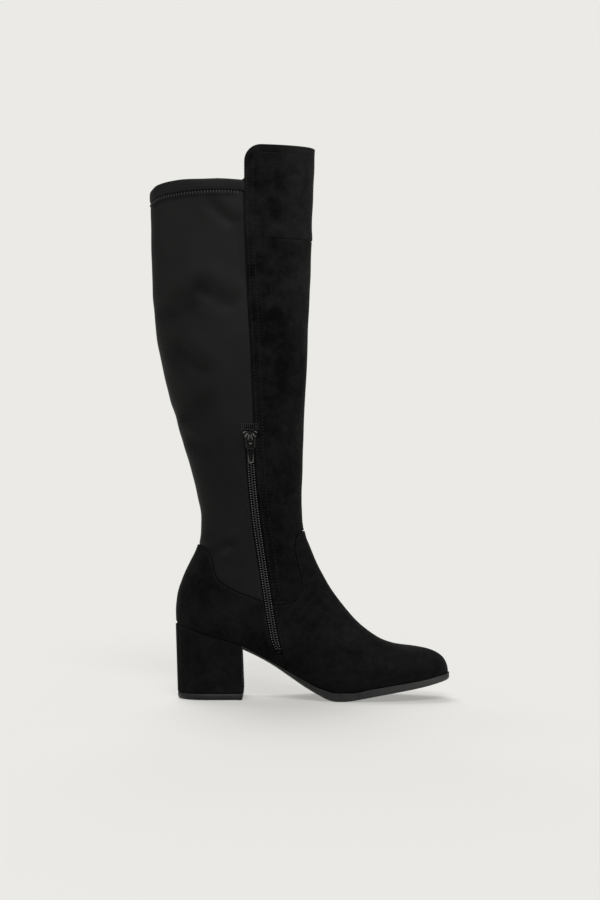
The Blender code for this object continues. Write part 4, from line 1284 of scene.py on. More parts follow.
def dress(
    part: Bundle, name: str, finish: Finish, slot: str, *nodes: str, body: str = "boot", sharp: float = SHARP
) -> None:
    """Makes a piece of the boot, with its finish and its body.

    Args:
        part: Its points and faces.
        name: Its name.
        finish: Its finish.
        slot: The record's material slot; not used.
        nodes: CAD nodes that it stands for.
        body: The body it moves with.
        sharp: Angle in degrees past which an edge isn't shaded smooth.
    """
    thing = part.build(name, sharp)
    thing.data.materials.append(finish.material())
    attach(thing, body)
    if nodes:
        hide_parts(*nodes)
    LOG.info("%s: %d faces, finish %s", name, len(thing.data.polygons), finish.name.lower())


# ---------------------------------------------------------------------------- the upper

FOLDS = Table.of(
    "x0     z0      x1      z1     depth  width  side",
    (-2.0, 470.0, 26.0, 444.0, 2.2, 6.0, -1),
    (30.0, 456.0, 35.0, 384.0, 1.1, 5.0, -1),
    (-48.0, 360.0, -4.0, 392.0, 3.2, 9.0, -1),
    (-12.0, 393.0, 26.0, 368.0, 2.9, 9.0, -1),
    (-34.0, 336.0, 0.0, 306.0, 2.7, 7.0, -1),
    (-34.0, 266.0, 6.0, 288.0, 2.2, 7.0, -1),
    (-26.0, 250.0, 8.0, 232.0, 1.2, 6.0, -1),
    (-10.0, 142.0, 26.0, 148.0, 2.0, 5.0, -1),
    (-50.0, 452.0, 12.0, 430.0, 1.6, 7.0, 1),
    (-40.0, 350.0, 20.0, 372.0, 1.9, 9.0, 1),
    (-34.0, 300.0, 22.0, 276.0, 1.7, 8.0, 1),
    (-14.0, 222.0, 24.0, 240.0, 1.2, 6.0, 1),
    (40.0, 176.0, 84.0, 190.0, 0.9, 7.0, 1),
)


@dataclass(frozen=True)
class Cut:
    """A panel: its node, outline, finish and slot, and how its outer face rises inwards from the edge."""

    name: str
    node: str
    outline: Callable[[], Array]
    finish: Finish
    slot: str
    rise: tuple[tuple[float, float], ...]
    tuck: float = 1.0
    margin: float = 0.28


FRONT_RISE = (
    (0.0, -0.3), (0.3, 0.35), (0.8, 0.72), (1.6, 0.7), (2.3, 0.4),
    (3.0, 0.62), (7.2, 0.64), (8.0, 0.36), (8.8, 0.6), (10.0, 0.6),
)
LAPPED_RISE = ((0.0, -0.2), (0.3, 0.7), (0.9, 1.1), (1.5, 1.05), (2.0, 0.8), (2.5, 1.0), (4.0, 1.1))
HEM_RISE = ((0.0, -0.2), (0.4, 0.25), (1.2, 0.6), (2.6, 0.9), (4.0, 1.0))
STRETCH_RISE = ((0.0, -0.6), (0.5, -0.25), (1.6, -0.05), (3.2, 0.0))

PANEL_INNER = -0.8
PANELS = (
    Cut("front_panel", "shaft_front", front_outline, Finish.SUEDE, "suede", FRONT_RISE),
    Cut("back_panel", "shaft_back", back_outline, Finish.STRETCH, "stretch", STRETCH_RISE),
    Cut("hem_fold", "collar_hem", hem_outline, Finish.FOLDED, "stretch", HEM_RISE),
    Cut("counter_wrap", "counter", counter_outline, Finish.SUEDE, "suede", LAPPED_RISE),
    Cut("vamp_wrap", "vamp", vamp_outline, Finish.SUEDE, "suede", LAPPED_RISE),
)


@dataclass
class Upper:
    """The lining and the panels on it, with their stitching."""

    fine: Last = field(default_factory=Last)
    coarse: Last = field(default_factory=lambda: Last(row_step=5.0, side_columns=44))
    lining_faces: tuple[float, float] = (-2.3, -1.1)
    collar_drop: float = 0.9
    join_z: float = 432.4
    near: float = 14.0
    join_steps: tuple[float, ...] = (-1.2, -0.45, 0.0, 0.3, 1.2)
    join_lift: float = 0.5
    join_fade: float = 12.0
    join_crease: float = 0.6
    join_inset: float = 12.0
    tuck_height: float = 2.0
    longest_gap: float = 9.0
    shortest_run: int = 4

    def __post_init__(self) -> None:
        """Folds the surface and lays out the zip's channel."""
        self.sheet = self.fine.displaced(FOLDS)
        self.channel = Outline(beside_seam(ZIP_LOW_Z, ZIP_TOP_Z, -3.0, CHANNEL_WIDTH))
        self.panels: dict[str, tuple[Sheet, Outline]] = {}

    def make(self) -> None:
        """Builds the lining, every panel and their stitching."""
        self.make_lining()
        for cut in PANELS:
            self.make_panel(cut)
        self.make_stitching()

    def make_lining(self) -> None:
        """The lining: the whole upper below the collar, as one closed wall."""
        sheet = self.coarse.displaced(FOLDS)
        sheet.values["collar"] = Outline(collar_outline()).measure(sheet.points)[0]
        sheet = sheet.below("collar", -self.collar_drop)
        dress(Bundle().add(*sheet.wall(*self.lining_faces)), "lining", Finish.LINING, "lining", "upper")

    def make_panel(self, cut: Cut) -> None:
        """One panel, cut along its outline and open where the zip lies.

        The outer face's height is read from the panel's own curve by distance from its edge, and it
        tucks in towards the sole.

        Args:
            cut: The panel's outline and heights.
        """
        outline = Outline(cut.outline())
        sheet = self.sheet.near(outline.ring, self.near)
        distance, _ = outline.measure(sheet.points)
        if cut.node in ("shaft_back", "counter"):
            channel, _ = self.channel.measure(sheet.points)
            distance = np.where(sheet.points[:, 1] < 0, np.maximum(distance, -channel), distance)
        sheet.values["edge"] = distance + cut.margin
        sheet = sheet.below("edge", 0.0)
        for inwards, _ in cut.rise[1:]:
            sheet = sheet.split("edge", -inwards)
        if cut.node == "shaft_front":
            sheet.values["join"] = sheet.points[:, 2] - self.join_z
            for level in self.join_steps:
                sheet = sheet.split("join", level)
        self.panels[cut.node] = (sheet, outline)
        reach = -sheet.values["edge"]
        rise = np.interp(reach, *np.array(cut.rise).T)
        if "join" in sheet.values:
            above = sheet.values["join"]
            lapped = self.join_lift * ease(above / 0.3) * (1 - ease((above - 1) / self.join_fade))
            creased = self.join_crease * bell((above + 0.2) / 0.5)
            rise += (lapped - creased) * ease((reach - self.join_inset) / 16)
        above_seat = sheet.points[:, 2] - LAST.read("seat", sheet.points[:, 0])
        rise -= cut.tuck * (1 - ease(above_seat / self.tuck_height)) * (above_seat < 5)
        # The fold mark carries the folds' painted shade to the finish.
        marks = {"edge": np.tile(reach, 2), "fold": np.tile(sheet.values["fold"], 2)}
        panel = Bundle().add(*sheet.wall(PANEL_INNER, rise), **marks)
        dress(panel, cut.name, cut.finish, cut.slot, cut.node)

    def sew(self, bundle: Bundle, row: Row) -> None:
        """Sews a row of stitches at a distance inside a panel's edge.

        Args:
            bundle: Where the stitches go.
            row: Which panel, how far in, and how the stitches lie.
        """
        sheet, outline = self.panels[row.panel]
        cut = next(c for c in PANELS if c.node == row.panel)
        points, normals = sheet.line("edge", -row.inwards)
        height = float(np.interp(row.inwards, *np.array(cut.rise).T))
        chosen = row.keep(points)
        points, normals = points[chosen], normals[chosen]
        thread, tilt = Thread(row.length, row.thick), np.radians(row.tilt)
        for side in (-1, 1):
            near = points[:, 1] * side > 0
            order = np.argsort(outline.measure(points[near])[1])
            run, run_out = points[near][order], normals[near][order]
            breaks = np.flatnonzero(np.linalg.norm(np.diff(run, axis=0), axis=1) > self.longest_gap) + 1
            for part, part_out in zip(np.split(run, breaks), np.split(run_out, breaks)):
                if len(part) < self.shortest_run:
                    continue
                at, along, out = spaced(part, part_out, row.pitch)
                along = along * np.cos(tilt * side) + np.cross(out, along) * np.sin(tilt * side)
                thread.sew(bundle, at + out * height, along, out)

    def make_stitching(self) -> None:
        """The rows beside the front panel's edge, along vamp and counter, and the hem's zigzag."""
        for name, thread, rows in STITCHING:
            bundle = Bundle()
            for row in rows:
                self.sew(bundle, row)
            dress(bundle, name, thread, "zip_tape")


@dataclass(frozen=True)
class Row:
    """A row of stitches: its panel, distance from the edge, pitch, stitch size, place and tilt in degrees."""

    panel: str
    inwards: float
    pitch: float
    length: float
    thick: float
    keep: Callable[[Array], Array]
    tilt: float = 0.0


def beside_front_seam(points: Array) -> Array:
    """The rear edge of the front panel with its corner and top."""
    return (points[:, 2] > 92) & (points[:, 0] - seam_x(points[:, 2]) < 16) | (points[:, 2] > 500)


def above_zip_foot(points: Array) -> Array:
    """What lies above the place where the edges meet."""
    return points[:, 2] > 90


def beside_zip(points: Array) -> Array:
    """What lies just behind the zip, on the inner side."""
    x, y, z = points.T
    far = np.abs(seam_x(z) - CHANNEL_WIDTH - x)
    clear = np.abs(z - EDGES_MEET_Z - 2) > 4
    return (y < 0) & (far < 7) & (z > ZIP_LOW_Z + 6) & (z < ZIP_TOP_Z - 4) & clear


def beside_low_seam(points: Array) -> Array:
    """The vamp's rear edge, below the front panel on the inner side."""
    x, y, z = points.T
    return (y < 0) & (np.abs(x - seam_x(z)) < 6) & (z > ZIP_LOW_Z + 4) & (z < EDGES_MEET_Z - 5)


def under_hem(points: Array) -> Array:
    """What lies just under the hem, clear of the seam."""
    x, _, z = points.T
    return (z > HEM_LINE.read("z", x) - 8) & (x < seam_x(z) - 3.4)


STITCHING = (
    ("panel_stitch", Finish.THREAD, (
        Row("shaft_front", 2.3, 3.1, 1.7, 0.6, beside_front_seam),
        Row("shaft_front", 8.0, 3.1, 1.7, 0.6, beside_front_seam),
        Row("shaft_back", 2.2, 2.4, 1.4, 0.6, beside_zip),
        Row("counter", 2.0, 2.4, 1.4, 0.6, beside_zip),
        Row("vamp", 2.0, 2.4, 1.4, 0.6, beside_low_seam),
    )),
    ("vamp_stitch", Finish.DARK_THREAD, (Row("vamp", 2.0, 2.8, 2.1, 0.5, above_zip_foot),)),
    ("counter_stitch", Finish.DARK_THREAD, (Row("counter", 2.0, 2.8, 2.1, 0.5, above_zip_foot),)),
    ("hem_stitch", Finish.PALE_THREAD, (Row("shaft_back", 1.5, 2.8, 3.2, 1.1, under_hem, 84.0),)),
)


# ---------------------------------------------------------------------------- the zip


@dataclass
class Zip:
    """The half zip behind the seam on the inner side: tape, teeth and bottom stop."""

    upper: Upper
    tape_width: float = 7.2
    tape_faces: tuple[float, float] = (-0.8, -0.25)
    pitch: float = 2.3
    tooth: tuple[float, float, float] = (1.1, 3.1, 0.85)
    # Each tip block: place across, width and how much painted highlight it takes.
    tips: tuple[tuple[float, float, float], ...] = ((0.35, 0.7, 0.8), (2.55, 1.1, 1.0))
    stop_length: float = 2.2
    stop_height: float = 1.7
    tack_rows: tuple[float, ...] = (254.0, 256.4, 258.8)
    tack_across: tuple[float, float, int] = (-3.4, 11.2, 9)

    def __post_init__(self) -> None:
        """Finds the zip's middle line on the boot."""
        sheet = self.upper.sheet
        x, y, z = sheet.points.T
        slope = seam_x(z + 0.5) - seam_x(z - 0.5)
        behind = np.where(y < 0, (seam_x(z) - x) / np.hypot(1, slope), -FAR)
        sheet.values["behind"] = behind
        sheet.values["middle"] = behind - (CHANNEL_WIDTH - zip_narrowing(z)) / 2
        self.line, self.out = self.run("middle", 0.0)

    def run(self, name: str, level: float) -> tuple[Array, Array]:
        """The line where a distance behind the seam has a value, upwards, and the way out along it."""
        points, normals = self.upper.sheet.line(name, level)
        keep = (points[:, 2] > ZIP_LOW_Z) & (points[:, 2] < ZIP_TOP_Z + 12) & (points[:, 1] < -10)
        points, normals = points[keep], normals[keep]
        order = np.argsort(points[:, 2])
        return points[order], normals[order]

    def make(self) -> None:
        """Builds tape, teeth, stop and tack."""
        self.make_tape()
        self.make_teeth()
        self.make_stop()
        self.make_tack()

    def make_tape(self) -> None:
        """The tape: a strip of the boot's surface under the teeth."""
        margin = (CHANNEL_WIDTH - self.tape_width) / 2
        band = Outline(beside_seam(ZIP_LOW_Z, ZIP_TOP_Z, margin, margin + self.tape_width))
        sheet = self.upper.sheet.near(band.ring, 8.0)
        sheet.values["edge"] = np.where(sheet.points[:, 1] < 0, band.measure(sheet.points)[0], FAR)
        sheet = sheet.below("edge", 0.0)
        dress(Bundle().add(*sheet.wall(*self.tape_faces)), "tape_weave", Finish.TAPE, "zip_tape", "zip_tape")

    def pip(self, length: float, width: float, height: float) -> tuple[Array, Array, Array]:
        """A small block with cut corners and a narrower top: points, quads and end faces."""
        turn = (np.arange(8) + 0.5) * np.pi / 4
        square = np.column_stack([np.cos(turn), np.sin(turn)])
        square = np.sign(square) * np.abs(square) ** 0.55
        share, scale = np.array([-0.3, 0.55, 0.9, 1.0]), np.array([1.0, 1.0, 0.84, 0.6])
        flat = square[None] * scale[:, None, None] * [length / 2, width / 2]
        rings = np.concatenate([flat, np.broadcast_to(share[:, None, None] * height, (4, 8, 1))], axis=2)
        ends = np.vstack([np.arange(8)[::-1], 24 + np.arange(8)])
        return rings.reshape(-1, 3), tube_faces(4, 8), ends

    def make_teeth(self) -> None:
        """The teeth: two rows of small blocks, half a pitch apart, with a cord down the middle."""
        length, width, height = self.tooth
        blocks = [(width / 2, width, height, 0.0)]
        blocks += [(centre, wide, height + 0.25, worn) for centre, wide, worn in self.tips]
        above = (self.line[:, 2] > ZIP_LOW_Z + self.stop_length) & (self.line[:, 2] < ZIP_TOP_Z - 2)
        at, along, out = spaced(self.line[above], self.out[above], self.pitch)
        wide = 1 - zip_narrowing(at[:, 2]) / CHANNEL_WIDTH
        # Painted shadow: the tips' painted highlight is dimmed above the pull's lower end, where slider and
        # pull shade the teeth.
        painted_light = 0.45 + 0.55 * ease((SLIDER_Z - PULL_REACH - at[:, 2]) / 3)
        bundle = Bundle()
        for side in (-1, 1):
            for centre, across, high, worn in blocks:
                points, faces, ends = self.pip(length, across, high)
                row = points + [side * self.pitch / 4, side * centre, 0.0]
                parts = (repeated(part, len(row), len(at)) for part in (faces, ends))
                tip_light = np.repeat(worn * painted_light, len(row))
                bundle.add(stamped(row, at, along, out, wide), *parts, worn=tip_light)
        dress(bundle, "zip_teeth", Finish.NYLON, "zip_tape", "zip_chain")

    def make_stop(self) -> None:
        """The bottom stop: one wide block over the last teeth."""
        points, faces, ends = self.pip(self.stop_length, CHANNEL_WIDTH - ZIP_TAPER - 0.4, self.stop_height)
        low = self.line[:, 2] < ZIP_LOW_Z + 12
        at, along, out = spaced(self.line[low], self.out[low], self.stop_length)
        stop = Bundle().add(stamped(points, at[:1], along[:1], out[:1]), faces, ends, worn=0.2)
        dress(stop, "bottom_stop", Finish.METAL, "zip_metal", "zip_stop")

    def make_tack(self) -> None:
        """The box of stitches over the zip's top end: rows of short bars that stand side by side."""
        thread, bundle = Thread(1.5, 0.7), Bundle()
        rows = np.array(self.tack_rows)
        for behind in np.linspace(*self.tack_across):
            line, normals = self.run("behind", behind)
            at, out = read_run(rows, line[:, 2], line), unit(read_run(rows, line[:, 2], normals))
            upwards = unit([0.0, 0.0, 1.0] - out * out[:, 2:])
            thread.sew(bundle, at + out * (0.7 if behind < 0.3 else 0.1), upwards, out)
        dress(bundle, "zip_tack", Finish.PALE_THREAD, "zip_tape")


def plate(outline: Array, rows: tuple[tuple[float, float], ...]) -> tuple[Array, Array, Array]:
    """A plate through copies of an outline, each moved in by a distance and set at a height.

    Args:
        outline: Its x and y, anticlockwise.
        rows: Distance inwards and height of each copy, upwards.

    Returns:
        Points, quads and triangles.
    """
    run = unit(np.roll(outline, -1, axis=0) - outline)
    inward = np.column_stack([-run[:, 1], run[:, 0]])
    before = np.roll(inward, 1, axis=0)
    miter = (inward + before) / (1 + np.sum(inward * before, axis=1))[:, None]
    rings = [np.column_stack([outline + miter * d, np.full(len(outline), z)]) for d, z in rows]
    return loft(np.array(rings))


def both_sides(half: tuple[tuple[float, float], ...]) -> Array:
    """A run of points and then its mirror image, backwards."""
    points = np.array(half)
    return np.vstack([points, (points * [-1, 1])[::-1]])


@dataclass
class Slider:
    """The crown-shaped slider with its bridge and the open pull that hangs from it."""

    zip: Zip
    joint: dict
    floor: float = 1.8
    thick: float = 1.3
    lift: float = 1.1
    bridge_width: float = 2.8
    pull_thick: float = 1.2
    fan_top: float = 10.2
    sharp: float = 35.0
    petals: tuple[tuple[float, float, float], ...] = (
        (-66.0, 5.8, 3.2), (-34.0, 6.6, 4.8), (-12.0, 7.4, 5.2),
        (12.0, 7.4, 5.2), (34.0, 6.6, 4.8), (66.0, 5.8, 3.2),
    )
    crown: tuple[tuple[float, float], ...] = (
        (0.0, -8.0), (2.9, -8.0), (4.0, -6.9), (4.3, -5.4), (4.5, -1.0), (5.4, 2.0), (6.5, 4.4), (6.5, 6.0),
        (5.4, 7.2), (3.4, 8.0), (0.0, 8.2),
    )
    half_arch: tuple[tuple[float, float], ...] = ((-3.7, -0.6), (-3.7, 1.7), (-2.7, 2.8))
    half_rim: tuple[tuple[float, float], ...] = (
        (1.05, -20.7), (1.95, -19.7), (3.25, -3.1), (3.25, -0.9), (2.55, -0.05),
    )

    def __post_init__(self) -> None:
        """Sets the slider's frame from the hinge and the zip's run."""
        self.hinge = np.array(self.joint["pos_m"]) / MM
        across = -np.array(self.joint["axis"])
        near = np.abs(self.zip.line[:, 2] - SLIDER_Z).argsort()[:40]
        ends = self.zip.line[near][[self.zip.line[near, 2].argmin(), self.zip.line[near, 2].argmax()]]
        up = ends[1] - ends[0]
        up = unit(up - across * (up @ across))
        self.axes = np.array([across, up, np.cross(across, up)])
        self.origin = self.hinge - self.axes[2] * (self.floor + self.thick + self.lift)

    def set_down(self, points: Array, lift: float = 0.0) -> Array:
        """Local points (across, up the zip, out) carried to the boot."""
        return self.origin + (points + [0.0, 0.0, lift]) @ self.axes

    def make(self) -> None:
        """Builds the slider and its pull."""
        self.make_body()
        self.make_pull()

    def make_body(self) -> None:
        """The plate with a bevelled edge, the bridge over it and short ribs that fan out on its crown."""
        half = np.array(self.crown)
        side = np.vstack([half[:-1], (half * [-1, 1])[::-1][:-1]])
        outline = softened(side, 0.9, 3)[:, :2]
        top = self.floor + self.thick
        rows = ((0.9, 1.0), (0.35, 1.1), (0.0, self.floor), (0.0, top - 0.4), (0.15, top - 0.12), (0.45, top))
        points, quads, triangles = plate(outline, rows)
        # Painted highlight along the top edge of the bevel on the plate's lower part.
        painted_light = bell((points[:, 2] - top + 0.12) / 0.1) * ease((2.0 - points[:, 1]) / 1.5)
        bundle = Bundle().add(self.set_down(points), quads, triangles, worn=0.7 * painted_light)
        arch = both_sides(self.half_arch)
        path = np.column_stack([np.zeros(len(arch)), arch[:, 0], arch[:, 1] + top])
        path = dense3(path, 0.35)
        along = unit(np.gradient(path, axis=0))
        across = np.broadcast_to([1.0, 0.0, 0.0], path.shape)
        block = rounded_box(self.bridge_width, 0.95, 0.3)
        points, quads, triangles = loft(swept(path, across, np.cross(across, along), block))
        # Painted glint on the bridge's lower end.
        low_end = bell((points[:, 1] + 2.9) / 0.7) * (points[:, 2] > top + 1.0)
        bundle.add(self.set_down(points), quads[:, ::-1], triangles[:, ::-1], worn=0.05 + 0.75 * low_end)
        # The ribs take a painted highlight.
        for angle, reach, length in self.petals:
            turn = np.radians(angle)
            ray = np.array([[np.sin(turn), -np.cos(turn), 0.0]])
            petal, *faces = self.zip.pip(length, 0.72, 0.8)
            root = ray * reach + [0.0, self.fan_top, top - 0.05]
            points = stamped(petal, root, ray, np.array([[0.0, 0.0, 1.0]]))
            bundle.add(self.set_down(points), *faces, worn=0.75)
        dress(bundle, "slider_crown", Finish.METAL, "zip_metal", "zip_slider", sharp=self.sharp)

    def make_pull(self) -> None:
        """The pull: a rounded bar carried round an open frame."""
        rim = both_sides(self.half_rim)
        ring = softened(rim, 1.0, 6)
        along = unit(np.roll(ring, -1, axis=0) - np.roll(ring, 1, axis=0))
        out = np.broadcast_to([0.0, 0.0, 1.0], ring.shape)
        block = rounded_box(0.9, self.pull_thick, 0.35)
        points = swept(ring, np.cross(out, along), out, block)
        # Painted highlight on the frame's outer face, towards its lower end.
        low = ease((-7.5 - ring[:, 1]) / 3.0)
        worn = np.outer(0.05 + 0.5 * low, block[:, 1] > 0).ravel()
        faces = tube_faces(len(ring), len(block), closed=True)
        points = self.set_down(points.reshape(-1, 3), self.floor + self.thick + self.lift)
        pull = Bundle().add(points, faces, worn=worn)
        dress(pull, "pull_frame", Finish.METAL, "zip_metal", "zip_pull", body="pull_tab", sharp=self.sharp)


def dense3(path: Array, step: float) -> Array:
    """A path in space with a point every step, its corners softened."""
    run = lengths(path)
    fine = read_run(np.linspace(0, run[-1], int(run[-1] / step) + 2), run, path)
    fine[1:-1] = (fine[:-2] + 2 * fine[1:-1] + fine[2:]) / 4
    return fine


def rounded_box(width: float, height: float, radius: float) -> Array:
    """A rectangle's outline with rounded corners, anticlockwise."""
    corners = np.array([(1, -1), (1, 1), (-1, 1), (-1, -1)]) * [width / 2, height / 2]
    return softened(corners, radius, 4)[:, :2]


# ---------------------------------------------------------------------------- sole and heel


@dataclass
class Sole:
    """Outsole, insole, covered heel block and heel tip."""

    edge: float = 1.1
    gap: float = 0.4
    start_x: float = 29.8
    outsole_rings: int = 230
    insole_rings: int = 120
    insole_thick: float = 2.4
    insole_in: float = 3.3
    breast_top_x: float = 29.2
    breast_low_x: float = 31.0
    low_back_x: float = -30.6
    low_half: float = 26.0
    tip_thick: float = 6.0
    cover: float = 0.45
    lip_high: float = 0.8
    lip_wide: float = 0.9
    rib_start: float = 96.0
    rib_end: float = 206.0
    rib_pitch: float = 6.0
    rib_depth: float = 0.8
    ribs_out: tuple[float, float] = (0.8, 0.84)
    groove_x: float = -27.6
    nub_y: float = 17.0
    nub_z: float = 15.4
    nub_high: float = 1.9
    sharp: float = 50.0

    def under_seat(self, x: Array) -> Array:
        """The top of the sole and the heel at x."""
        return LAST.read("seat", x) - self.gap * np.hypot(1, seat_slope(x))

    def stations(self, first: float, last: float, count: int) -> Array:
        """Stations from first to last, closer towards the toe's tip and the heel's back."""
        share = np.linspace(0, 1, count)
        if first > 0:
            return first + (last - first) * np.sin(share * HALF_PI)
        if last < TOE_ROUND_X:
            return first + (last - first) * (1 - np.cos(share * HALF_PI))
        return first + (last - first) * (1 - np.cos(share * np.pi)) / 2

    def make(self) -> None:
        """Builds the four parts."""
        self.make_outsole()
        self.make_insole()
        self.make_heel()

    def make_outsole(self) -> None:
        """The outsole: rings with a rounded edge, from the heel's breast to the toe."""
        x = self.stations(self.start_x, TOE_TIP_X - 0.02, self.outsole_rings)
        edge = self.edge + TREAD.read("welt", x)
        top_x, medial, lateral = sole_edge(x, edge)
        low_x, low_medial, low_lateral = sole_edge(x, edge - TREAD.read("slope", x))
        centre, top, low = LAST.read("centre", x), self.under_seat(top_x), TREAD.read("bottom", low_x)
        side = np.maximum(top - TREAD.read("side", x), low + 0.4)
        ribbed = ease((low_x - self.rib_start) / 6) * ease((self.rib_end - low_x) / 6)
        grooved = low + self.rib_depth * ribbed * ease(1.6 * np.sin(2 * np.pi * low_x / self.rib_pitch) - 0.3)
        lip = top + self.lip_high * ease((top_x - 95) / 35)
        half = np.maximum((lateral - medial) / 2, 0.01)
        inner, foot = (1 - np.minimum(self.lip_wide * k / half, 0.5) for k in (1.0, 1.6))

        def from_edge(edge: Array, low_edge: Array) -> list[tuple[Array, Array, Array, float]]:
            """One side's corners, from the top's middle down to the tread, each with its radius."""
            top_reach, low_reach = edge - centre, low_edge - centre
            return [
                (top_x, centre + top_reach * foot, top, 0.3), (top_x, centre + top_reach * inner, lip, 0.3),
                (top_x, edge, lip, 0.5), (top_x, edge, side, 1.2), (low_x, low_edge, low, 1.6),
                (low_x, centre + low_reach * self.ribs_out[1], low, 0.3),
                (low_x, centre + low_reach * self.ribs_out[0], grooved, 0.3),
            ]

        corners = from_edge(medial, low_medial) + from_edge(lateral, low_lateral)[::-1]
        corners = corners[2:] + [(top_x, centre, top, 6.0)] + corners[:2]
        rings = np.stack([np.column_stack(corner[:3]) for corner in corners], axis=1)
        rings = rounded(rings, [corner[3] for corner in corners], 4)
        points, quads, triangles = loft(rings)
        above = points[:, 2] - np.interp(points[:, 0], x, side)
        # Painted light on the sole's side: lighter towards the toe, less at the tip.
        painted_light = ease((points[:, 0] - 130) / 60) - 0.8 * ease((points[:, 0] - 208) / 14)
        # Painted highlight along the upper corner of the side, plus the painted light towards the toe.
        worn = np.exp(-np.abs(above) / 1.2) + 0.8 * painted_light * ease(above / 3 + 1)
        outsole = Bundle().add(points, quads, triangles, worn=worn)
        dress(outsole, "outsole_rubber", Finish.RUBBER, "rubber", "outsole", sharp=self.sharp)

    def make_insole(self) -> None:
        """The insole: a thin loft that closes the upper underneath."""
        x = self.stations(HEEL_BACK_X + 0.05, TOE_TIP_X - 0.05, self.insole_rings)
        at, medial, lateral = sole_edge(x, -self.insole_in)
        low, centre = LAST.read("seat", at), LAST.read("centre", x)
        top = low + self.insole_thick * np.hypot(1, seat_slope(at))
        corners = [
            (at, medial, top), (at, medial, low), (at, centre, low),
            (at, lateral, low), (at, lateral, top), (at, centre, top),
        ]
        rings = rounded(np.stack([np.column_stack(corner) for corner in corners], axis=1), 0.8, 3)
        dress(Bundle().add(*loft(rings)), "insole_sock", Finish.LINING, "lining", "insole", sharp=self.sharp)

    def heel_ring(self, count: int = 90) -> tuple[Array, Array]:
        """The heel's outline from above, at the seat and at the floor, anticlockwise from the breast."""
        x = self.stations(HEEL_BACK_X + 0.02, self.breast_top_x, count)
        top_x, medial, lateral = sole_edge(x, self.edge)
        back = HEEL_BACK_X - self.edge
        share = (top_x - back) / (self.breast_top_x - back)
        low_x = self.low_back_x + share * (self.breast_low_x - self.low_back_x)
        taper = self.low_half / (LAST.read("half", HEEL_ROUND_X) + self.edge)

        def outline(x: Array, wide: float | Array) -> Array:
            """The lateral side from its front to the back, and the medial side from there to the front."""
            sides = [np.column_stack([x, side * wide]) for side in (lateral, medial)]
            return np.vstack([sides[0][::-1], sides[1]])

        return outline(top_x, 1.0), outline(low_x, taper)

    def make_heel(self) -> None:
        """The covered block between seat and tip, and the tip, as stacks of outlines."""
        top, low = self.heel_ring()
        run = unit(np.roll(low, -1, axis=0) - np.roll(low, 1, axis=0))
        inward = np.column_stack([-run[:, 1], run[:, 0]])

        def ring(share: float, inset: float, z: Array | float) -> Array:
            """The outline at a share of the height, moved in, at a height."""
            flat = low + (top - low) * share + inward * np.reshape(inset, (-1, 1))
            return np.column_stack([flat, np.broadcast_to(z, len(flat))])

        def wrapped(share: float, inset: float, z: Array | float) -> Array:
            """The same with the cover's thickness, the groove where its edges meet and the breast's fold."""
            groove = 0.8 * bell((low[:, 0] - self.groove_x) / 0.55)
            at_breast = ease((low[:, 0] - 29.5) / 1.0) * bell((low[:, 1] + self.nub_y) / 5)
            nub = self.nub_high * at_breast * bell((np.mean(z) - self.nub_z) / 1.3)
            return ring(share, inset - self.cover + groove - nub, z)

        seat, tip = self.under_seat(top[:, 0]), self.tip_thick
        rings = [wrapped(0, 0.8, tip + 0.3), wrapped(0, 0.25, tip + 0.7)]
        rings += [wrapped(s, 0.0, tip + 1.3 + (seat - tip - 2.3) * s) for s in np.linspace(0, 1, 36)]
        rings += [wrapped(1, 0.5, seat - 0.7), wrapped(1, 1.5, seat)]
        points, quads, triangles = loft(np.array(rings))
        height = np.clip((points[:, 2] - tip) / 60, 0, 1)
        block = Bundle().add(points, quads, triangles, edge=6 * height + 2)
        dress(block, "heel_wrap", Finish.SUEDE, "suede", "heel_block", sharp=self.sharp)
        rows = ((2.6, 0.0), (1.4, 0.25), (0.6, 0.8), (0.15, 1.7), (-0.1, 2.8))
        rows += ((-0.2, tip - 0.6), (0.0, tip - 0.2), (0.5, tip))
        points, quads, triangles = loft(np.array([ring(0, inset, z) for inset, z in rows]))
        # Painted highlight along the top edge of the lift.
        lift = Bundle().add(points, quads, triangles, worn=np.exp(-np.abs(points[:, 2] - tip) / 0.8))
        dress(lift, "heel_lift", Finish.RUBBER, "rubber", "heel_tip", sharp=self.sharp)


# ---------------------------------------------------------------------------- the studio


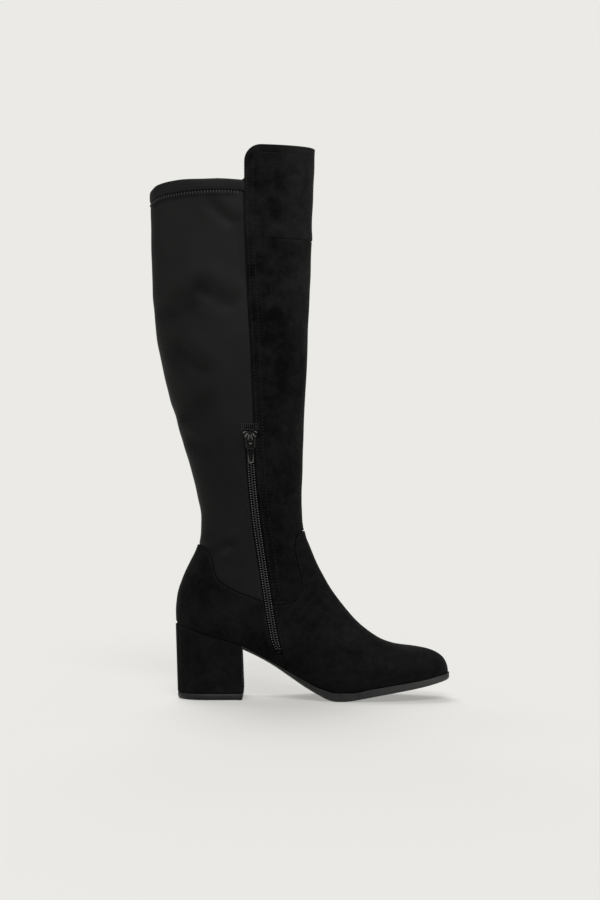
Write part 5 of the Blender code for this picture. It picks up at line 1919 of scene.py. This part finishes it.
@dataclass
class Studio:
    """Pale floor and air, soft lamps and the camera."""

    air: tuple[float, float, float] = (0.8308, 0.8228, 0.7913)
    dim: float = 0.22
    skies: tuple[tuple[float, float, float, float], ...] = (
        (0.62, 24.0, 26.0, 30.0), (0.56, -45.0, 0.0, 30.0), (0.26, 55.0, 8.0, 30.0),
    )
    lamps: tuple[tuple[str, tuple[float, float, float], float, float], ...] = (
        ("heel_side", (-2.4, -1.1, 0.9), 1.5, 9.0), ("toe_side", (2.6, -0.9, 0.9), 1.5, 40.0),
        ("overhead", (0.2, -0.9, 2.6), 1.5, 70.0), ("front", (-0.4, -3.2, 1.2), 1.2, 22.0),
    )
    lamps_aim: tuple[float, float, float] = (0.06, 0.0, 0.24)
    floor_half: float = 6.0
    floor_lines: int = 25
    camera_at: tuple[float, float, float] = (0.0848, -2.13, 0.2346)
    lens: float = 89.9

    def make(self) -> None:
        """Builds floor, air, lamps and camera."""
        bpy.context.scene.view_settings.view_transform = "Standard"
        floor = self.make_floor()
        self.make_air()
        self.boot_only = self.receivers("lamps_skip_floor", floor, "EXCLUDE")
        self.floor_only = self.receivers("sky_lights_floor", floor, "INCLUDE")
        for lamp in self.lamps:
            self.make_lamp(*lamp)
        for sky in self.skies:
            self.make_sky(*sky)
        self.make_camera()

    def receivers(self, name: str, floor: bpy.types.Object, state: str) -> Collection:
        """A collection that has lamps leave out the floor, or light only it."""
        group = bpy.data.collections.new(name)
        group.objects.link(floor)
        group.collection_objects[0].light_linking.link_state = state
        return group

    def make_floor(self) -> bpy.types.Object:
        """The floor: one flat square under the boot, wide enough to end far away."""
        side = np.linspace(-self.floor_half, self.floor_half, self.floor_lines) / MM
        x, y = np.meshgrid(side, side, indexing="ij")
        index = np.arange(x.size).reshape(x.shape)
        faces = [index[:-1, :-1], index[1:, :-1], index[1:, 1:], index[:-1, 1:]]
        points = np.column_stack([x.ravel(), y.ravel(), np.zeros(x.size)])
        floor = Bundle().add(points, np.stack(faces, axis=2).reshape(-1, 4)).build("floor", SHARP)
        light = self.dim + sum(sky[0] for sky in self.skies)
        floor.data.materials.append(Paper("pale_paper", self.air, light).make())
        return floor

    def make_air(self) -> None:
        """Even light from all round, dimmer than the pale air that is seen."""
        world = bpy.data.worlds.new("air")
        world.use_nodes = True
        tree = world.node_tree
        seen, light = tree.nodes["Background"], tree.nodes.new("ShaderNodeBackground")
        for node in (seen, light):
            node.inputs["Color"].default_value = (*self.air, 1.0)
        light.inputs["Strength"].default_value = self.dim
        mix = tree.nodes.new("ShaderNodeMixShader")
        tree.links.new(tree.nodes.new("ShaderNodeLightPath").outputs["Is Camera Ray"], mix.inputs[0])
        tree.links.new(light.outputs[0], mix.inputs[1])
        tree.links.new(seen.outputs[0], mix.inputs[2])
        tree.links.new(mix.outputs[0], tree.nodes["World Output"].inputs["Surface"])
        bpy.context.scene.world = world

    def make_lamp(self, name: str, at: tuple[float, float, float], size: float, power: float) -> None:
        """A square soft lamp that faces the middle of the boot and leaves the floor alone."""
        lamp = bpy.data.lights.new(name, "AREA")
        lamp.energy, lamp.size = power, size
        self.hang(lamp, at, Vector(self.lamps_aim) - Vector(at), self.boot_only)

    def hang(self, lamp: bpy.types.Light, at: tuple[float, ...], way: Vector, lit: Collection) -> None:
        """Puts a lamp in the scene, turned along a way, for a collection of things that it lights."""
        thing = bpy.data.objects.new(lamp.name, lamp)
        thing.location, thing.rotation_euler = at, way.to_track_quat("-Z", "Y").to_euler()
        thing.light_linking.receiver_collection = lit
        bpy.context.scene.collection.objects.link(thing)

    def make_sky(self, share: float, tilt: float, turn: float, width: float) -> None:
        """Even light on the floor alone, for the soft shade round the sole.

        Args:
            share: Its part of the floor's light.
            tilt: Degrees from straight down; above 0 the shade falls in front.
            turn: Degrees that the shade is turned towards the toe.
            width: Degrees that the light spreads over.
        """
        tilt, turn = np.radians(tilt), np.radians(turn)
        sky = bpy.data.lights.new("sky", "SUN")
        sky.energy, sky.angle = share * np.pi / np.cos(tilt), np.radians(width)
        sky.color = self.air
        way = Vector((np.sin(tilt) * np.sin(turn), -np.sin(tilt) * np.cos(turn), -np.cos(tilt)))
        self.hang(sky, (0.0, 0.0, 0.0), way, self.floor_only)

    def make_camera(self) -> None:
        """The camera: level, square on to the inner side."""
        camera = bpy.data.cameras.new("camera")
        camera.lens, camera.clip_end = self.lens, 50.0
        thing = bpy.data.objects.new("camera", camera)
        thing.location, thing.rotation_euler = self.camera_at, (HALF_PI, 0.0, 0.0)
        bpy.context.scene.collection.objects.link(thing)
        bpy.context.scene.camera = thing


def main() -> None:
    """Loads the frame, builds the boot on it and sets up the studio."""
    logging.basicConfig(level=logging.INFO, format="%(message)s")
    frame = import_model()
    upper = Upper()
    upper.make()
    zip_line = Zip(upper)
    zip_line.make()
    Slider(zip_line, frame["joints"][0]).make()
    Sole().make()
    Studio().make()


if __name__ == "__main__":
    main()
